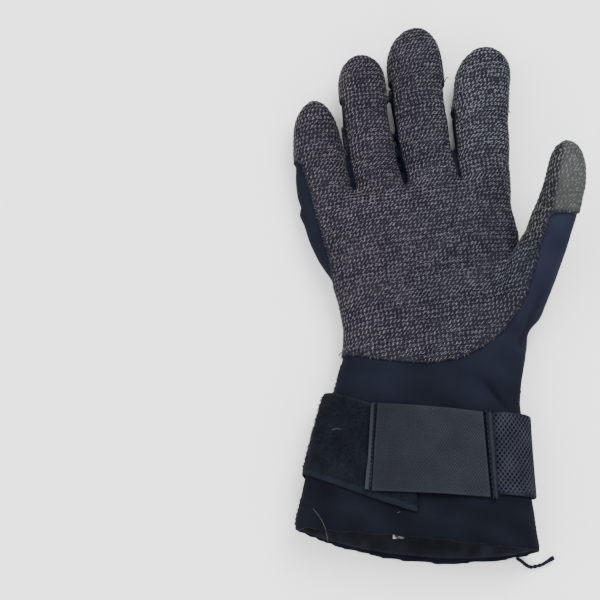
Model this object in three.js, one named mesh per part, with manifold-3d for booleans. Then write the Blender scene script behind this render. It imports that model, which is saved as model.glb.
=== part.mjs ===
import * as THREE from 'three';
import { mergeVertices } from 'three/addons/utils/BufferGeometryUtils.js';
import Module from 'manifold-3d';

// A right-hand neoprene diving glove with a knitted palm, lying on its back.
// Millimetres. X runs from the little finger to the thumb, Y from the cuff to the fingertips, Z up.

const wasm = await Module();
wasm.setup();

// Lengths along the hand
const cuffLength = 108;
const handLength = 92;

// Widths and depths of the hollow form, outside the rubber
const cuffWidth = 126;
const cuffDepth = 32;
const wristWidth = 97;
const wristDepth = 28;
const palmWidth = 112;
const palmDepth = 26.5;

// Sheets
const rubberWall = 3;
const knitThickness = 1.2;
const liningThickness = 1.1;
const seat = 0.3;

// The mouth of the cuff is cut askew, and its two walls hang past the line between its corners
const mouthSkew = 12;
const mouthStart = 10.5;
const backSag = 9;
const palmSag = 1;
const mouthReach = 60;

// Strap
const strapThickness = 1.9;
const loopWidth = 44;
const loopTilt = 24;
const hookWidth = 48;
const elasticWidth = 44;
const hookLength = 59;
const hookLeft = -22;
const seamWidth = 4.2;
const foldWidth = 2.6;
const foldRise = 0.9;
const strapAt = 54;
const loopAtEdge = 67;
const loopTailX = 1;
const loopTailAt = 46;
const bulgeLow = 0.4;
const bulgeHigh = 2.8;

// Lining and label inside the cuff
const liningReach = 52;
const liningSetback = 2;
const labelWidth = 6;
const labelLength = 12;
const labelThickness = 0.6;
const labelX = -10.7;
const labelPeek = 0.9;

// Thumb
const thumbReach = 101;
const thumbSpread = 37.5;
const thumbLift = 40;
const thumbWidth = 22;
const thumbDepth = 26;
const thumbRootX = 46;
const thumbRootAbove = 14;
const thumbRootPastWrist = 10;
const thumbCapShare = 0.63;

// Fingers, from the little finger to the index. across: share of the palm's width, root: share of
// its own width where it leaves the palm, taper: share of its width lost at the tip, cap: length
// of the end that is wrapped in knit
const fingers = [
  {
    across: -0.397, length: 54, width: 30, depth: 19, cap: 33,
    root: 1, taper: 0.38, lean: -6.9, bow: -1.5, tipRise: 5.5,
  },
  {
    across: -0.130, length: 80.5, width: 27.4, depth: 20.5, cap: 24,
    root: 1, taper: 0.19, lean: -11.6, bow: -2.4, tipRise: 7,
  },
  {
    across: 0.143, length: 97, width: 29.4, depth: 21.5, cap: 30,
    root: 1, taper: 0.13, lean: -10.8, bow: -4.5, tipRise: 7,
  },
  {
    across: 0.372, length: 85.5, width: 28.4, depth: 21, cap: 36,
    root: 0.84, taper: 0.11, lean: 3.3, bow: -3.6, tipRise: 6.5,
  },
];
const tipShare = 0.46;

// A finger starts inside the palm: how far back, how far towards its middle, and how much smaller
const fingerRoot = 20;
const rootTuck = 0.12;
const rootSize = 0.72;
const knuckleSlant = 0.12;

// Where the shells of the fingers and the thumb part from the hand's: a length past the palm's end,
// and a row of the thumb
const fingerCut = 17;
const thumbCutRow = 3.1;

// Rows from the mouth to the wrist. at: share of the cuff's length, centre: share of the wrist's
// width, flare: share of the way from the wrist's width and depth to the mouth's
const cuffRows = [
  { at: 0, centre: 0.004, flare: 1, deep: 1 },
  { at: 0.08, centre: 0.001, flare: 0.94, deep: 0.97 },
  { at: 0.17, centre: 0.006, flare: 0.85, deep: 0.88 },
  { at: 0.26, centre: 0.009, flare: 0.76, deep: 0.8 },
  { at: 0.35, centre: 0.011, flare: 0.68, deep: 0.68 },
  { at: 0.44, centre: 0.018, flare: 0.58, deep: 0.55 },
  { at: 0.55, centre: 0.027, flare: 0.45, deep: 0.4 },
  { at: 0.67, centre: 0.044, flare: 0.27, deep: 0.3 },
  { at: 0.78, centre: 0.063, flare: 0.10, deep: 0.15 },
  { at: 0.89, centre: 0.088, flare: 0.02, deep: 0 },
];

// Rows from the wrist to the knuckles. at: share of the hand's length, centre and width: shares of
// the palm's width, depth: share of the palm's depth
const handRows = [
  { at: 0, centre: 0.102, width: 0.862, depth: 1.05 },
  { at: 0.08, centre: 0.114, width: 0.866, depth: 1.05 },
  { at: 0.18, centre: 0.121, width: 0.875, depth: 1.04 },
  { at: 0.36, centre: 0.109, width: 0.897, depth: 1.03 },
  { at: 0.51, centre: 0.083, width: 0.922, depth: 1.02 },
  { at: 0.65, centre: 0.035, width: 0.956, depth: 1 },
  { at: 0.82, centre: -0.005, width: 0.988, depth: 0.95 },
  { at: 0.97, centre: -0.032, width: 1.004, depth: 0.86 },
];

// Rows of the thumb. reach, spread and lift: shares of the thumb's own three lengths
const thumbRows = [
  { reach: -0.06, spread: -0.22, lift: -0.03, width: 0.9, depth: 0.72 },
  { reach: 0.19, spread: 0.24, lift: 0.075, width: 1.42, depth: 1.02 },
  { reach: 0.36, spread: 0.485, lift: 0.225, width: 1.24, depth: 1.03 },
  { reach: 0.505, spread: 0.71, lift: 0.425, width: 0.97, depth: 1 },
  { reach: 0.645, spread: 0.84, lift: 0.61, width: 0.92, depth: 0.95 },
  { reach: 0.787, spread: 0.94, lift: 0.80, width: 0.85, depth: 0.88 },
];

// Knit panel's edge on the palm, seen from above: shares of the palm's width and the hand's length
const panelEdge = [
  { across: -0.62, along: 0.01 },
  { across: -0.32, along: 0.005 },
  { across: -0.12, along: -0.05 },
  { across: 0.06, along: -0.075 },
  { across: 0.21, along: -0.045 },
  { across: 0.31, along: 0.02 },
  { across: 0.41, along: 0.115 },
  { across: 0.49, along: 0.235 },
  { across: 0.54, along: 0.35 },
  { across: 0.568, along: 0.46 },
  { across: 0.602, along: 0.61 },
  { across: 0.66, along: 0.82 },
  { across: 0.62, along: 0.83 },
  { across: 0.50, along: 1.12 },
  { across: -0.46, along: 1.01 },
  { across: -0.475, along: 0.93 },
  { across: -0.445, along: 0.80 },
  { across: -0.40, along: 0.62 },
  { across: -0.40, along: 0.52 },
  { across: -0.62, along: 0.50 },
];

// A section is rounder on the palm side than on the back, where it is pressed flat on the surface
const upperPower = 2.15;
const lowerPower = 2.9;
const pressed = 0.8;
const backShare = 0.47;
const wristBlend = 0.18;
const seamShare = 0.42;
const strapRoom = strapThickness + seat;
const gloveReach = cuffLength + handLength;

function mix(a, b, share) {
  return a + (b - a) * share;
}

function smooth(from, to, value) {
  return THREE.MathUtils.smoothstep(value, from, to);
}

function signedPower(value, power) {
  return Math.sign(value) * Math.abs(value) ** power;
}

// The form's sections

function cuffSection(row) {
  return {
    along: row.at * cuffLength,
    centre: row.centre * wristWidth,
    width: mix(wristWidth, cuffWidth, row.flare),
    depth: mix(wristDepth, cuffDepth, row.deep),
  };
}

function handSection(row) {
  const wrist = Math.max(0, 1 - row.at / wristBlend);
  return {
    along: cuffLength + row.at * handLength,
    centre: row.centre * palmWidth,
    width: mix(row.width * palmWidth, wristWidth, wrist),
    depth: mix(row.depth * palmDepth, wristDepth, wrist),
  };
}

// The back of the cuff is raised where the strap runs under it
const strapLow = strapAt - loopWidth / 2 - 3;
const strapHigh = loopAtEdge + loopWidth / 2 + 7;
const strapEase = 9;

function liftAt(along) {
  const rise = smooth(strapLow - strapEase, strapLow, along);
  const fall = 1 - smooth(strapHigh, strapHigh + strapEase, along);
  return strapRoom * Math.min(rise, fall);
}

const sections = [...cuffRows.map(cuffSection), ...handRows.map(handSection)];
for (const section of sections) {
  section.lift = liftAt(section.along);
}

function sectionAt(along) {
  const last = sections.length - 2;
  let index = sections.findIndex((section) => section.along > along) - 1;
  index = index < 0 ? (along < cuffLength ? 0 : last) : index;
  const low = sections[index];
  const high = sections[index + 1];
  const share = (along - low.along) / (high.along - low.along);
  return {
    centre: mix(low.centre, high.centre, share),
    width: mix(low.width, high.width, share),
    depth: mix(low.depth, high.depth, share),
    lift: mix(low.lift, high.lift, share),
  };
}

function sectionPoint(section, angle, grow) {
  const lift = section.lift;
  const cos = Math.cos(angle);
  const sin = Math.sin(angle);
  const power = sin > 0 ? upperPower : lowerPower;
  const deep = section.depth - lift;
  const middle = lift + deep * backShare;
  const tall = sin > 0 ? deep * (1 - backShare) : deep * backShare + pressed;
  const x = section.centre + (section.width / 2 + grow) * signedPower(cos, 2 / power);
  const z = middle + (tall + grow) * signedPower(sin, 2 / power);
  return { x, z: Math.max(z, lift - grow) };
}

// How far the mouth's cut lies from a square cut, fading towards the strap
function mouthShift(along, x, z) {
  const fade = Math.max(0, 1 - Math.max(along, -liningReach) / mouthReach);
  const side = THREE.MathUtils.clamp((2 * x) / cuffWidth, -1, 1);
  const sag = mix(backSag, palmSag, THREE.MathUtils.clamp(z / cuffDepth, 0, 1));
  return fade * (mouthStart - (mouthSkew / 2) * side - sag * (1 - side * side));
}

function formPoint(station, angle, grow) {
  const point = sectionPoint(sectionAt(station), angle, grow);
  return new THREE.Vector3(point.x, station + mouthShift(station, point.x, point.z), point.z);
}

// The point of the form at a true distance along the glove
function surfacePoint(along, angle, grow) {
  let station = along;
  for (let step = 0; step < 6; step += 1) {
    const point = formPoint(station, angle, grow);
    station += along - point.y;
  }
  return formPoint(station, angle, grow);
}

// Closed meshes

function makeSolid(positions, indices) {
  let geometry = new THREE.BufferGeometry();
  geometry.setAttribute('position', new THREE.Float32BufferAttribute(positions, 3));
  geometry.setIndex(indices);
  geometry = mergeVertices(geometry, 1e-4);
  return asManifold(geometry);
}

function asManifold(source) {
  let geometry = source.clone();
  geometry.deleteAttribute('normal');
  geometry.deleteAttribute('uv');
  geometry = mergeVertices(geometry, 1e-4);
  const mesh = new wasm.Mesh({
    numProp: 3,
    vertProperties: new Float32Array(geometry.attributes.position.array),
    triVerts: new Uint32Array(geometry.index.array),
  });
  return new wasm.Manifold(mesh);
}

// Rings run along the piece, and a point closes each end
function loft(rings, start, end) {
  const sides = rings[0].length;
  const points = [start, ...rings.flat(), end];
  const last = points.length - 1;
  const indices = [];
  for (let side = 0; side < sides; side += 1) {
    const next = (side + 1) % sides;
    indices.push(0, 1 + side, 1 + next);
    for (let row = 0; row < rings.length - 1; row += 1) {
      const low = 1 + row * sides;
      const high = low + sides;
      indices.push(low + side, high + side, low + next);
      indices.push(low + next, high + side, high + next);
    }
    const top = 1 + (rings.length - 1) * sides;
    indices.push(last, top + next, top + side);
  }
  return makeSolid(points.flatMap((point) => point.toArray()), indices);
}

function middleOf(ring) {
  const sum = ring.reduce((total, point) => total.add(point), new THREE.Vector3());
  return sum.divideScalar(ring.length);
}

// Two grids of points, outer and inner, joined along their borders. A ring closes on itself.
function slab(outer, inner, closed) {
  const rows = outer.length;
  const columns = outer[0].length;
  const points = [...outer.flat(), ...inner.flat()];
  const under = rows * columns;
  const indices = [];
  function quad(a, b, c, d) {
    indices.push(a, b, c);
    indices.push(a, c, d);
  }
  const spans = closed ? rows : rows - 1;
  for (let row = 0; row < spans; row += 1) {
    const here = row * columns;
    const there = ((row + 1) % rows) * columns;
    for (let column = 0; column < columns - 1; column += 1) {
      const low = here + column;
      const high = there + column;
      quad(low, high, high + 1, low + 1);
      quad(under + low, under + low + 1, under + high + 1, under + high);
    }
    const end = columns - 1;
    quad(here, under + here, under + there, there);
    quad(here + end, there + end, under + there + end, under + here + end);
  }
  if (!closed) {
    const top = (rows - 1) * columns;
    for (let column = 0; column < columns - 1; column += 1) {
      quad(column, column + 1, under + column + 1, under + column);
      quad(top + column, under + top + column, under + top + column + 1, top + column + 1);
    }
  }
  return makeSolid(points.flatMap((point) => point.toArray()), indices);
}

// The hollow form at a distance outside (or inside) the rubber's outer face

const ringSides = {
  outer: { hand: 40, finger: 16, thumb: 16 },
  inner: { hand: 24, finger: 12, thumb: 12 },
};

function handForm(grow, sides) {
  const cutting = grow < 0;
  const angles = Array.from({ length: sides }, (_, side) => ((side + 0.5) * 2 * Math.PI) / sides);
  const rings = [];
  if (cutting) {
    rings.push(angles.map((angle) => formPoint(-rubberWall * 2, angle, grow)));
  } else {
    const rim = angles.map((angle) => sectionPoint(sections[0], angle, grow));
    rings.push(rim.map((point) => {
      const x = mix(sections[0].centre, point.x, 0.6);
      const z = mix(sections[0].depth / 2, point.z, 0.6);
      return new THREE.Vector3(x, mouthShift(0, x, z), z);
    }));
  }
  for (const section of sections) {
    rings.push(angles.map((angle) => formPoint(section.along, angle, grow)));
  }
  const knuckles = [
    { past: 0.5, width: 0.985, depth: 0.86 },
    { past: 0.85, width: 0.94, depth: 0.62 },
    { past: 1, width: 0.86, depth: 0.32 },
  ];
  const end = sections[sections.length - 1];
  const roundness = palmDepth * 0.3;
  for (const row of knuckles) {
    const along = end.along + (roundness + grow) * row.past;
    rings.push(angles.map((angle) => {
      const point = sectionPoint(end, angle, grow);
      const x = end.centre + (point.x - end.centre) * row.width;
      const z = end.depth / 2 + (point.z - end.depth / 2) * row.depth;
      return new THREE.Vector3(x, along, z);
    }));
  }
  for (const ring of rings) {
    for (const point of ring) {
      const share = smooth(cuffLength, gloveReach, point.y);
      point.y += knuckleSlant * point.x * share;
    }
  }
  return loft(rings, middleOf(rings[0]), middleOf(rings[rings.length - 1]));
}

function fingerCentre(finger, share) {
  const out = Math.max(0, share);
  const tucked = (rootTuck * Math.min(0, share) * finger.length) / fingerRoot;
  const x = finger.across * palmWidth * (1 + tucked) + finger.lean * out + finger.bow * 4 * out * (1 - out);
  return { x, y: gloveReach + finger.length * share };
}

function fingerWidth(finger, share) {
  const root = mix(finger.root, 1, smooth(0, 0.35, share));
  return finger.width * root * (1 - finger.taper * Math.max(0, share) ** 1.5);
}

function fingerForm(finger, grow, sides) {
  const tipLength = finger.width * tipShare;
  const bodyEnd = 1 - tipLength / finger.length;
  const rows = [0, bodyEnd * 0.3, bodyEnd * 0.65, bodyEnd];
  const stations = rows.map((share) => ({ share, size: 1 }));
  stations.unshift({ share: -fingerRoot / finger.length, size: rootSize });
  for (const turn of [28, 52, 72]) {
    const angle = THREE.MathUtils.degToRad(turn);
    stations.push({ share: mix(bodyEnd, 1, Math.sin(angle)), size: Math.cos(angle) });
  }
  const rings = stations.map(({ share, size }) => {
    const past = Math.max(0, share - bodyEnd) / (1 - bodyEnd);
    const centre = fingerCentre(finger, share);
    const width = fingerWidth(finger, share) * size;
    const depth = finger.depth * size ** 0.8;
    const rise = finger.tipRise * Math.max(0, share) ** 1.1;
    const bottom = rise + (finger.depth - depth) / 2;
    const ring = [];
    for (let side = 0; side < sides; side += 1) {
      const angle = ((side + 0.5) * 2 * Math.PI) / sides;
      const section = { centre: centre.x, width, depth: bottom + depth, lift: bottom };
      const point = sectionPoint(section, angle, grow * mix(1, 0.85, past));
      ring.push(new THREE.Vector3(point.x, centre.y + grow * past, point.z));
    }
    return ring;
  });
  const tip = fingerCentre(finger, 1);
  const end = new THREE.Vector3(tip.x, tip.y + grow, finger.tipRise + finger.depth * 0.5);
  return loft(rings, middleOf(rings[0]), end);
}

function thumbPoint(row) {
  return new THREE.Vector3(
    thumbRootX + row.spread * thumbSpread,
    cuffLength + thumbRootPastWrist + row.reach * thumbReach,
    thumbRootAbove + row.lift * thumbLift,
  );
}

const thumbTip = thumbPoint({ reach: 0.97, spread: 0.95, lift: 1 });

function thumbForm(grow, sides) {
  const points = [...thumbRows.map(thumbPoint), thumbTip];
  const path = new THREE.CatmullRomCurve3(points);
  const last = thumbRows.length - 1;
  const steps = thumbRows.map((row, index) => ({ at: index, size: 1, row }));
  const rounding = [{ past: 0.4, size: 0.9 }, { past: 0.7, size: 0.7 }, { past: 0.9, size: 0.42 }];
  for (const { past, size } of rounding) {
    steps.push({ at: last + past, size, row: thumbRows[last], past });
  }
  const rings = steps.map(({ at, size, row, past = 0 }) => {
    const share = at / (points.length - 1);
    const centre = path.getPoint(share);
    const tangent = path.getTangent(share);
    const across = new THREE.Vector3().crossVectors(tangent, new THREE.Vector3(0, 0, 1)).normalize();
    const up = new THREE.Vector3().crossVectors(across, tangent);
    const halfWidth = (row.width * thumbWidth * size) / 2 + grow * mix(1, 0.8, past);
    const halfDepth = (row.depth * thumbDepth * size) / 2 + grow * mix(1, 0.8, past);
    const ring = [];
    for (let side = 0; side < sides; side += 1) {
      const angle = ((side + 0.5) * 2 * Math.PI) / sides;
      const point = centre.clone();
      point.addScaledVector(across, halfWidth * signedPower(Math.cos(angle), 2 / upperPower));
      point.addScaledVector(up, halfDepth * signedPower(Math.sin(angle), 2 / upperPower));
      point.addScaledVector(tangent, grow * past);
      point.z = Math.max(point.z, -grow);
      ring.push(point);
    }
    return ring;
  });
  const tip = thumbTip.clone().addScaledVector(path.getTangent(1), grow);
  return loft(rings, middleOf(rings[0]), tip);
}

function gloveForm(grow) {
  const sides = grow < 0 ? ringSides.inner : ringSides.outer;
  let form = handForm(grow, sides.hand);
  for (const finger of fingers) {
    form = form.add(fingerForm(finger, grow, sides.finger));
  }
  return form.add(thumbForm(grow, sides.thumb));
}

const maskTop = 120;
const wide = 200;

// The hand and its fingers and thumb are shells that meet one seat apart

function pastFingerRoots(gap) {
  const right = palmWidth * 0.56;
  const reach = 2 * wide;
  const box = new THREE.BoxGeometry(wide + right, reach, 2 * maskTop);
  box.translate((right - wide) / 2, gloveReach + fingerCut + gap + reach / 2, 0);
  return asManifold(box);
}

function pastThumbRoot(gap) {
  const path = new THREE.CatmullRomCurve3([...thumbRows.map(thumbPoint), thumbTip]);
  const share = thumbCutRow / thumbRows.length;
  const turn = new THREE.Quaternion();
  turn.setFromUnitVectors(new THREE.Vector3(0, 1, 0), path.getTangent(share));
  const side = 1.3 * thumbDepth;
  const box = new THREE.BoxGeometry(side, thumbReach, side);
  box.translate(0, thumbReach / 2 + gap, 0);
  box.applyQuaternion(turn);
  const start = path.getPoint(share);
  box.translate(start.x, start.y, start.z);
  return asManifold(box);
}

function makeHand() {
  const shell = gloveForm(0).subtract(gloveForm(-rubberWall));
  return shell.subtract(pastFingerRoots(0)).subtract(pastThumbRoot(0));
}

function makeFingerShell(index) {
  let shell = fingerForm(fingers[index], 0, ringSides.outer.finger).intersect(pastFingerRoots(seat));
  for (const other of fingers.slice(0, index)) {
    shell = shell.subtract(fingerForm(other, seat, ringSides.outer.finger));
  }
  return shell.subtract(fingerForm(fingers[index], -rubberWall, ringSides.inner.finger));
}

function makeThumbShell() {
  const shell = thumbForm(0, ringSides.outer.thumb).intersect(pastThumbRoot(seat));
  return shell.subtract(thumbForm(-rubberWall, ringSides.inner.thumb));
}

// Masks that choose where the knit lies

function prism(outline, depth) {
  const shape = new THREE.Shape(outline.map(([x, y]) => new THREE.Vector2(x, y)));
  return new THREE.ExtrudeGeometry(shape, { depth, bevelEnabled: false });
}

function palmMask() {
  const outline = panelEdge.map((row) => [row.across * palmWidth, cuffLength + row.along * handLength]);
  let mask = asManifold(prism(outline, maskTop));
  for (const finger of fingers) {
    mask = mask.add(asManifold(prism(fingerStrip(finger), maskTop)));
  }
  const seamHeight = palmDepth * seamShare;
  const longest = fingers.reduce((a, b) => (a.length > b.length ? a : b));
  const start = cuffLength * 0.8;
  const end = gloveReach + longest.length;
  const side = [
    [start, seamHeight],
    [gloveReach, seamHeight],
    [end, seamHeight + longest.tipRise],
    [end, maskTop],
    [start, maskTop],
  ];
  const sideways = prism(side, 2 * wide);
  sideways.rotateY(Math.PI / 2);
  sideways.rotateX(Math.PI / 2);
  sideways.translate(-wide, 0, 0);
  return mask.intersect(asManifold(sideways));
}

// A finger's palm face, as wide as clears the finger beside it
function fingerStrip(finger) {
  const shares = [-0.1, 0.05, 0.25, 0.5, 0.75, 1];
  const shoulder = knitThickness;
  const outside = finger === fingers[fingers.length - 1] ? 2 * knitThickness : -shoulder;
  const left = [];
  const right = [];
  for (const share of shares) {
    const centre = fingerCentre(finger, share);
    const half = fingerWidth(finger, share) / 2;
    left.push([centre.x - half + shoulder, centre.y]);
    right.push([centre.x + half + outside, centre.y]);
  }
  return [...right, ...left.reverse()];
}

function capMask(finger) {
  const start = gloveReach + finger.length - finger.cap;
  const box = new THREE.BoxGeometry(2 * wide, 2 * finger.cap, maskTop);
  box.translate(0, start + finger.cap, 0);
  return asManifold(box);
}

function thumbCapMask() {
  const slope = Math.atan2(thumbLift, thumbReach);
  const start = thumbPoint({ reach: thumbCapShare, spread: 0.83, lift: 0.6 });
  const box = new THREE.BoxGeometry(3 * thumbWidth, thumbReach, 4 * thumbDepth);
  box.translate(0, thumbReach / 2, 0);
  box.rotateX(slope);
  box.translate(start.x, start.y, start.z);
  return asManifold(box);
}

function thumbFaceMask() {
  const low = thumbPoint({ reach: 0.36, spread: 0.49, lift: 0 });
  const high = thumbPoint({ reach: thumbCapShare + 0.06, spread: 0.82, lift: 0 });
  const edge = thumbWidth * 0.2;
  const outline = [
    [low.x - thumbWidth, low.y],
    [low.x - edge, low.y],
    [high.x - edge, high.y],
    [high.x - thumbWidth, high.y],
  ];
  const face = prism(outline, maskTop);
  face.translate(0, 0, thumbRootAbove);
  return asManifold(face);
}

// Strap pieces lie on the cuff as bands. A turn of a quarter is the middle of the palm side,
// a half turn the little finger's edge, and three quarters the middle of the back.

const quarter = Math.PI / 2;

function bulge(angle, side) {
  return mix(bulgeLow, bulgeHigh, (side + 1) / 2) * Math.abs(Math.cos(angle)) ** 3;
}

function angleAt(x, along) {
  const section = sectionAt(along);
  const share = THREE.MathUtils.clamp((x - section.centre) / (section.width / 2), -1, 1);
  const cos = signedPower(share, upperPower / 2);
  return Math.acos(cos);
}

const ringStep = (2 * Math.PI) / ringSides.outer.hand;
const bandRows = 4;

// Half the gap between the two ends on the back, as a turn
const backJoint = (seat / cuffWidth) ** (lowerPower / 2);

// The turns of the form's own ring that lie between two ends, so that a band runs parallel to it
function ringTurns(first, last) {
  const turns = [];
  for (let side = -ringSides.outer.hand; side < ringSides.outer.hand; side += 1) {
    const turn = (side + 0.5) * ringStep;
    if (turn > first + ringStep / 4 && turn < last - ringStep / 4) {
      turns.push(turn);
    }
  }
  return turns;
}

function band({ from, to, middle, width, under, over }) {
  const sides = Array.from({ length: bandRows + 1 }, (_, row) => (2 * row) / bandRows - 1);
  const first = Math.max(...sides.map(from));
  const last = Math.min(...sides.map(to));
  const spans = [from, ...ringTurns(first, last).map((turn) => () => turn), to];
  const outer = [];
  const inner = [];
  for (const span of spans) {
    const high = [];
    const low = [];
    for (const side of sides) {
      const angle = span(side);
      const along = middle(angle) + (side * width(angle)) / 2;
      const top = surfacePoint(along, angle, over(angle) + bulge(angle, side));
      top.z = Math.max(0, top.z);
      high.push(top);
      low.push(surfacePoint(along, angle, under(angle) + bulge(angle, side)));
    }
    outer.unshift(high);
    inner.unshift(low);
  }
  return slab(outer, inner, false);
}

const hookTurn = 2;
const hookRight = hookLeft + hookLength;
const elasticLeft = hookRight + seamWidth;
const hookLevel = strapThickness + 2 * seat;

function backMiddle(angle) {
  const share = THREE.MathUtils.clamp((angle - 2 * quarter) / (2 * quarter), 0, 1);
  return mix(loopAtEdge, strapAt, share);
}

// How much of its slant the loop band shows: all of it on the palm side, none past the edge
function loopSlant(angle) {
  return 1 - smooth(quarter, 2 * quarter, angle);
}

function makeLoopBand() {
  const tail = angleAt(loopTailX, loopTailAt);
  return band({
    from: () => tail,
    to: () => 3 * quarter - backJoint,
    middle: (angle) => {
      if (angle < 2 * quarter) {
        return mix(loopTailAt, loopAtEdge, Math.max(0, -Math.cos(angle)));
      }
      return backMiddle(angle);
    },
    width: (angle) => loopWidth / mix(1, Math.cos(THREE.MathUtils.degToRad(loopTilt)), loopSlant(angle)),
    under: () => seat,
    over: () => seat + strapThickness,
  });
}

function makeElastic() {
  return band({
    from: () => -quarter + backJoint,
    to: (side) => angleAt(elasticLeft + seat, strapAt + (side * elasticWidth) / 2),
    middle: (angle) => mix(strapAt, mix(loopAtEdge, strapAt, 0.5), Math.max(0, -angle / quarter)),
    width: () => elasticWidth,
    under: () => seat,
    over: () => seat + strapThickness,
  });
}

// The hook patch lies over the loop band's tail and drops to the cuff beyond it
function hookDrop(angle) {
  const tail = angleAt(loopTailX, loopTailAt);
  const share = smooth(ringStep * 1.1, ringStep * 3, tail - angle);
  return mix(hookLevel, hookLevel * 0.5, share);
}

function makeHookPatch() {
  return band({
    from: (side) => angleAt(hookRight - seat, strapAt + (side * hookWidth) / 2),
    to: (side) => angleAt(hookLeft + foldWidth, strapAt + hookTurn + (side * hookWidth) / 2),
    middle: (angle) => strapAt + hookTurn * smooth(quarter / 2, 1.3 * quarter, angle),
    width: () => hookWidth,
    under: hookDrop,
    over: (angle) => hookDrop(angle) + strapThickness,
  });
}

function makeHookFold() {
  return band({
    from: (side) => angleAt(hookLeft + foldWidth - seat, strapAt + hookTurn + (side * hookWidth) / 2),
    to: (side) => angleAt(hookLeft, strapAt + hookTurn + (side * hookWidth) / 2),
    middle: () => strapAt + hookTurn,
    width: () => hookWidth + 1,
    under: () => hookLevel,
    over: () => hookLevel + strapThickness + foldRise,
  });
}

function makeStrapSeam() {
  return band({
    from: (side) => angleAt(elasticLeft, strapAt + (side * hookWidth) / 2),
    to: (side) => angleAt(hookRight, strapAt + (side * hookWidth) / 2),
    middle: () => strapAt,
    width: () => hookWidth - 1,
    under: hookDrop,
    over: (angle) => hookDrop(angle) + strapThickness + foldRise,
  });
}

// A thin sleeve inside the cuff
function makeLining() {
  const sides = ringSides.inner.hand;
  const stations = sections.map((section) => section.along).filter((along) => along < liningReach);
  stations[0] = liningSetback;
  const outer = [];
  const inner = [];
  for (let side = 0; side < sides; side += 1) {
    const angle = (-(side + 0.5) * 2 * Math.PI) / sides;
    const out = [];
    const into = [];
    for (const station of stations) {
      out.push(formPoint(station, angle, -rubberWall - seat));
      into.push(formPoint(station, angle, -rubberWall - seat - liningThickness));
    }
    outer.push(out);
    inner.push(into);
  }
  return slab(outer, inner, true);
}

function makeLabel() {
  const under = rubberWall + liningThickness + 2 * seat;
  const rim = formPoint(0, angleAt(labelX, 0), 0).y;
  return band({
    from: () => angleAt(labelX + labelWidth / 2, rim),
    to: () => angleAt(labelX - labelWidth / 2, rim),
    middle: () => rim - labelPeek + labelLength / 2,
    width: () => labelLength,
    under: () => -under - labelThickness,
    over: () => -under,
  });
}

// Materials
const finishes = {
  rubber: new THREE.MeshStandardMaterial({ color: 0x212430, roughness: 0.85, metalness: 0 }),
  knit: new THREE.MeshStandardMaterial({ color: 0x3c3e44, roughness: 0.95, metalness: 0 }),
  hook: new THREE.MeshStandardMaterial({ color: 0x333843, roughness: 0.6, metalness: 0 }),
  elastic: new THREE.MeshStandardMaterial({ color: 0x2b303b, roughness: 0.75, metalness: 0 }),
  loop: new THREE.MeshStandardMaterial({ color: 0x161c26, roughness: 0.98, metalness: 0 }),
  lining: new THREE.MeshStandardMaterial({ color: 0x0f1114, roughness: 1, metalness: 0 }),
  label: new THREE.MeshStandardMaterial({ color: 0xd8d6cf, roughness: 0.7, metalness: 0 }),
};

const glove = new THREE.Group();

function addNode(name, solid, finish) {
  const mesh = solid.getMesh();
  const geometry = new THREE.BufferGeometry();
  geometry.setAttribute('position', new THREE.BufferAttribute(new Float32Array(mesh.vertProperties), 3));
  geometry.setIndex(new THREE.BufferAttribute(new Uint32Array(mesh.triVerts), 1));
  geometry.computeVertexNormals();
  const node = new THREE.Mesh(geometry, finishes[finish]);
  node.name = name;
  glove.add(node);
}

// The knit skin follows the rubber one seat away
function makeKnit() {
  const grow = seat + knitThickness;
  let outside = gloveForm(grow).intersect(palmMask());
  for (const finger of fingers) {
    outside = outside.add(fingerForm(finger, grow, ringSides.outer.finger).intersect(capMask(finger)));
  }
  const thumbMask = thumbCapMask().add(thumbFaceMask());
  outside = outside.add(thumbForm(grow, ringSides.outer.thumb).intersect(thumbMask));
  return outside.subtract(gloveForm(seat));
}

addNode('glove_body', makeHand(), 'rubber');
['little_finger', 'ring_finger', 'middle_finger', 'index_finger'].forEach((name, index) => {
  addNode(name, makeFingerShell(index), 'rubber');
});
addNode('thumb', makeThumbShell(), 'rubber');
addNode('palm_knit', makeKnit(), 'knit');
addNode('loop_band', makeLoopBand(), 'loop');
addNode('elastic_strap', makeElastic(), 'elastic');
addNode('hook_patch', makeHookPatch(), 'hook');
addNode('hook_end_fold', makeHookFold(), 'hook');
addNode('strap_seam', makeStrapSeam(), 'elastic');
addNode('cuff_lining', makeLining(), 'lining');
addNode('size_label', makeLabel(), 'label');

// The origin is the middle of the glove's box, on the surface that it lies on
const box = new THREE.Box3().setFromObject(glove);
glove.position.set(-(box.min.x + box.max.x) / 2, -(box.min.y + box.max.y) / 2, -box.min.z);

export default glove;
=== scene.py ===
"""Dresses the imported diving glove: neoprene shell, knitted palm, wrist strap, lining and threads."""
import math

import bpy
import numpy as np
from bpy.props import FloatProperty, FloatVectorProperty, IntProperty, PointerProperty
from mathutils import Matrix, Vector
from mathutils.bvhtree import BVHTree
from mathutils.kdtree import KDTree


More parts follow.
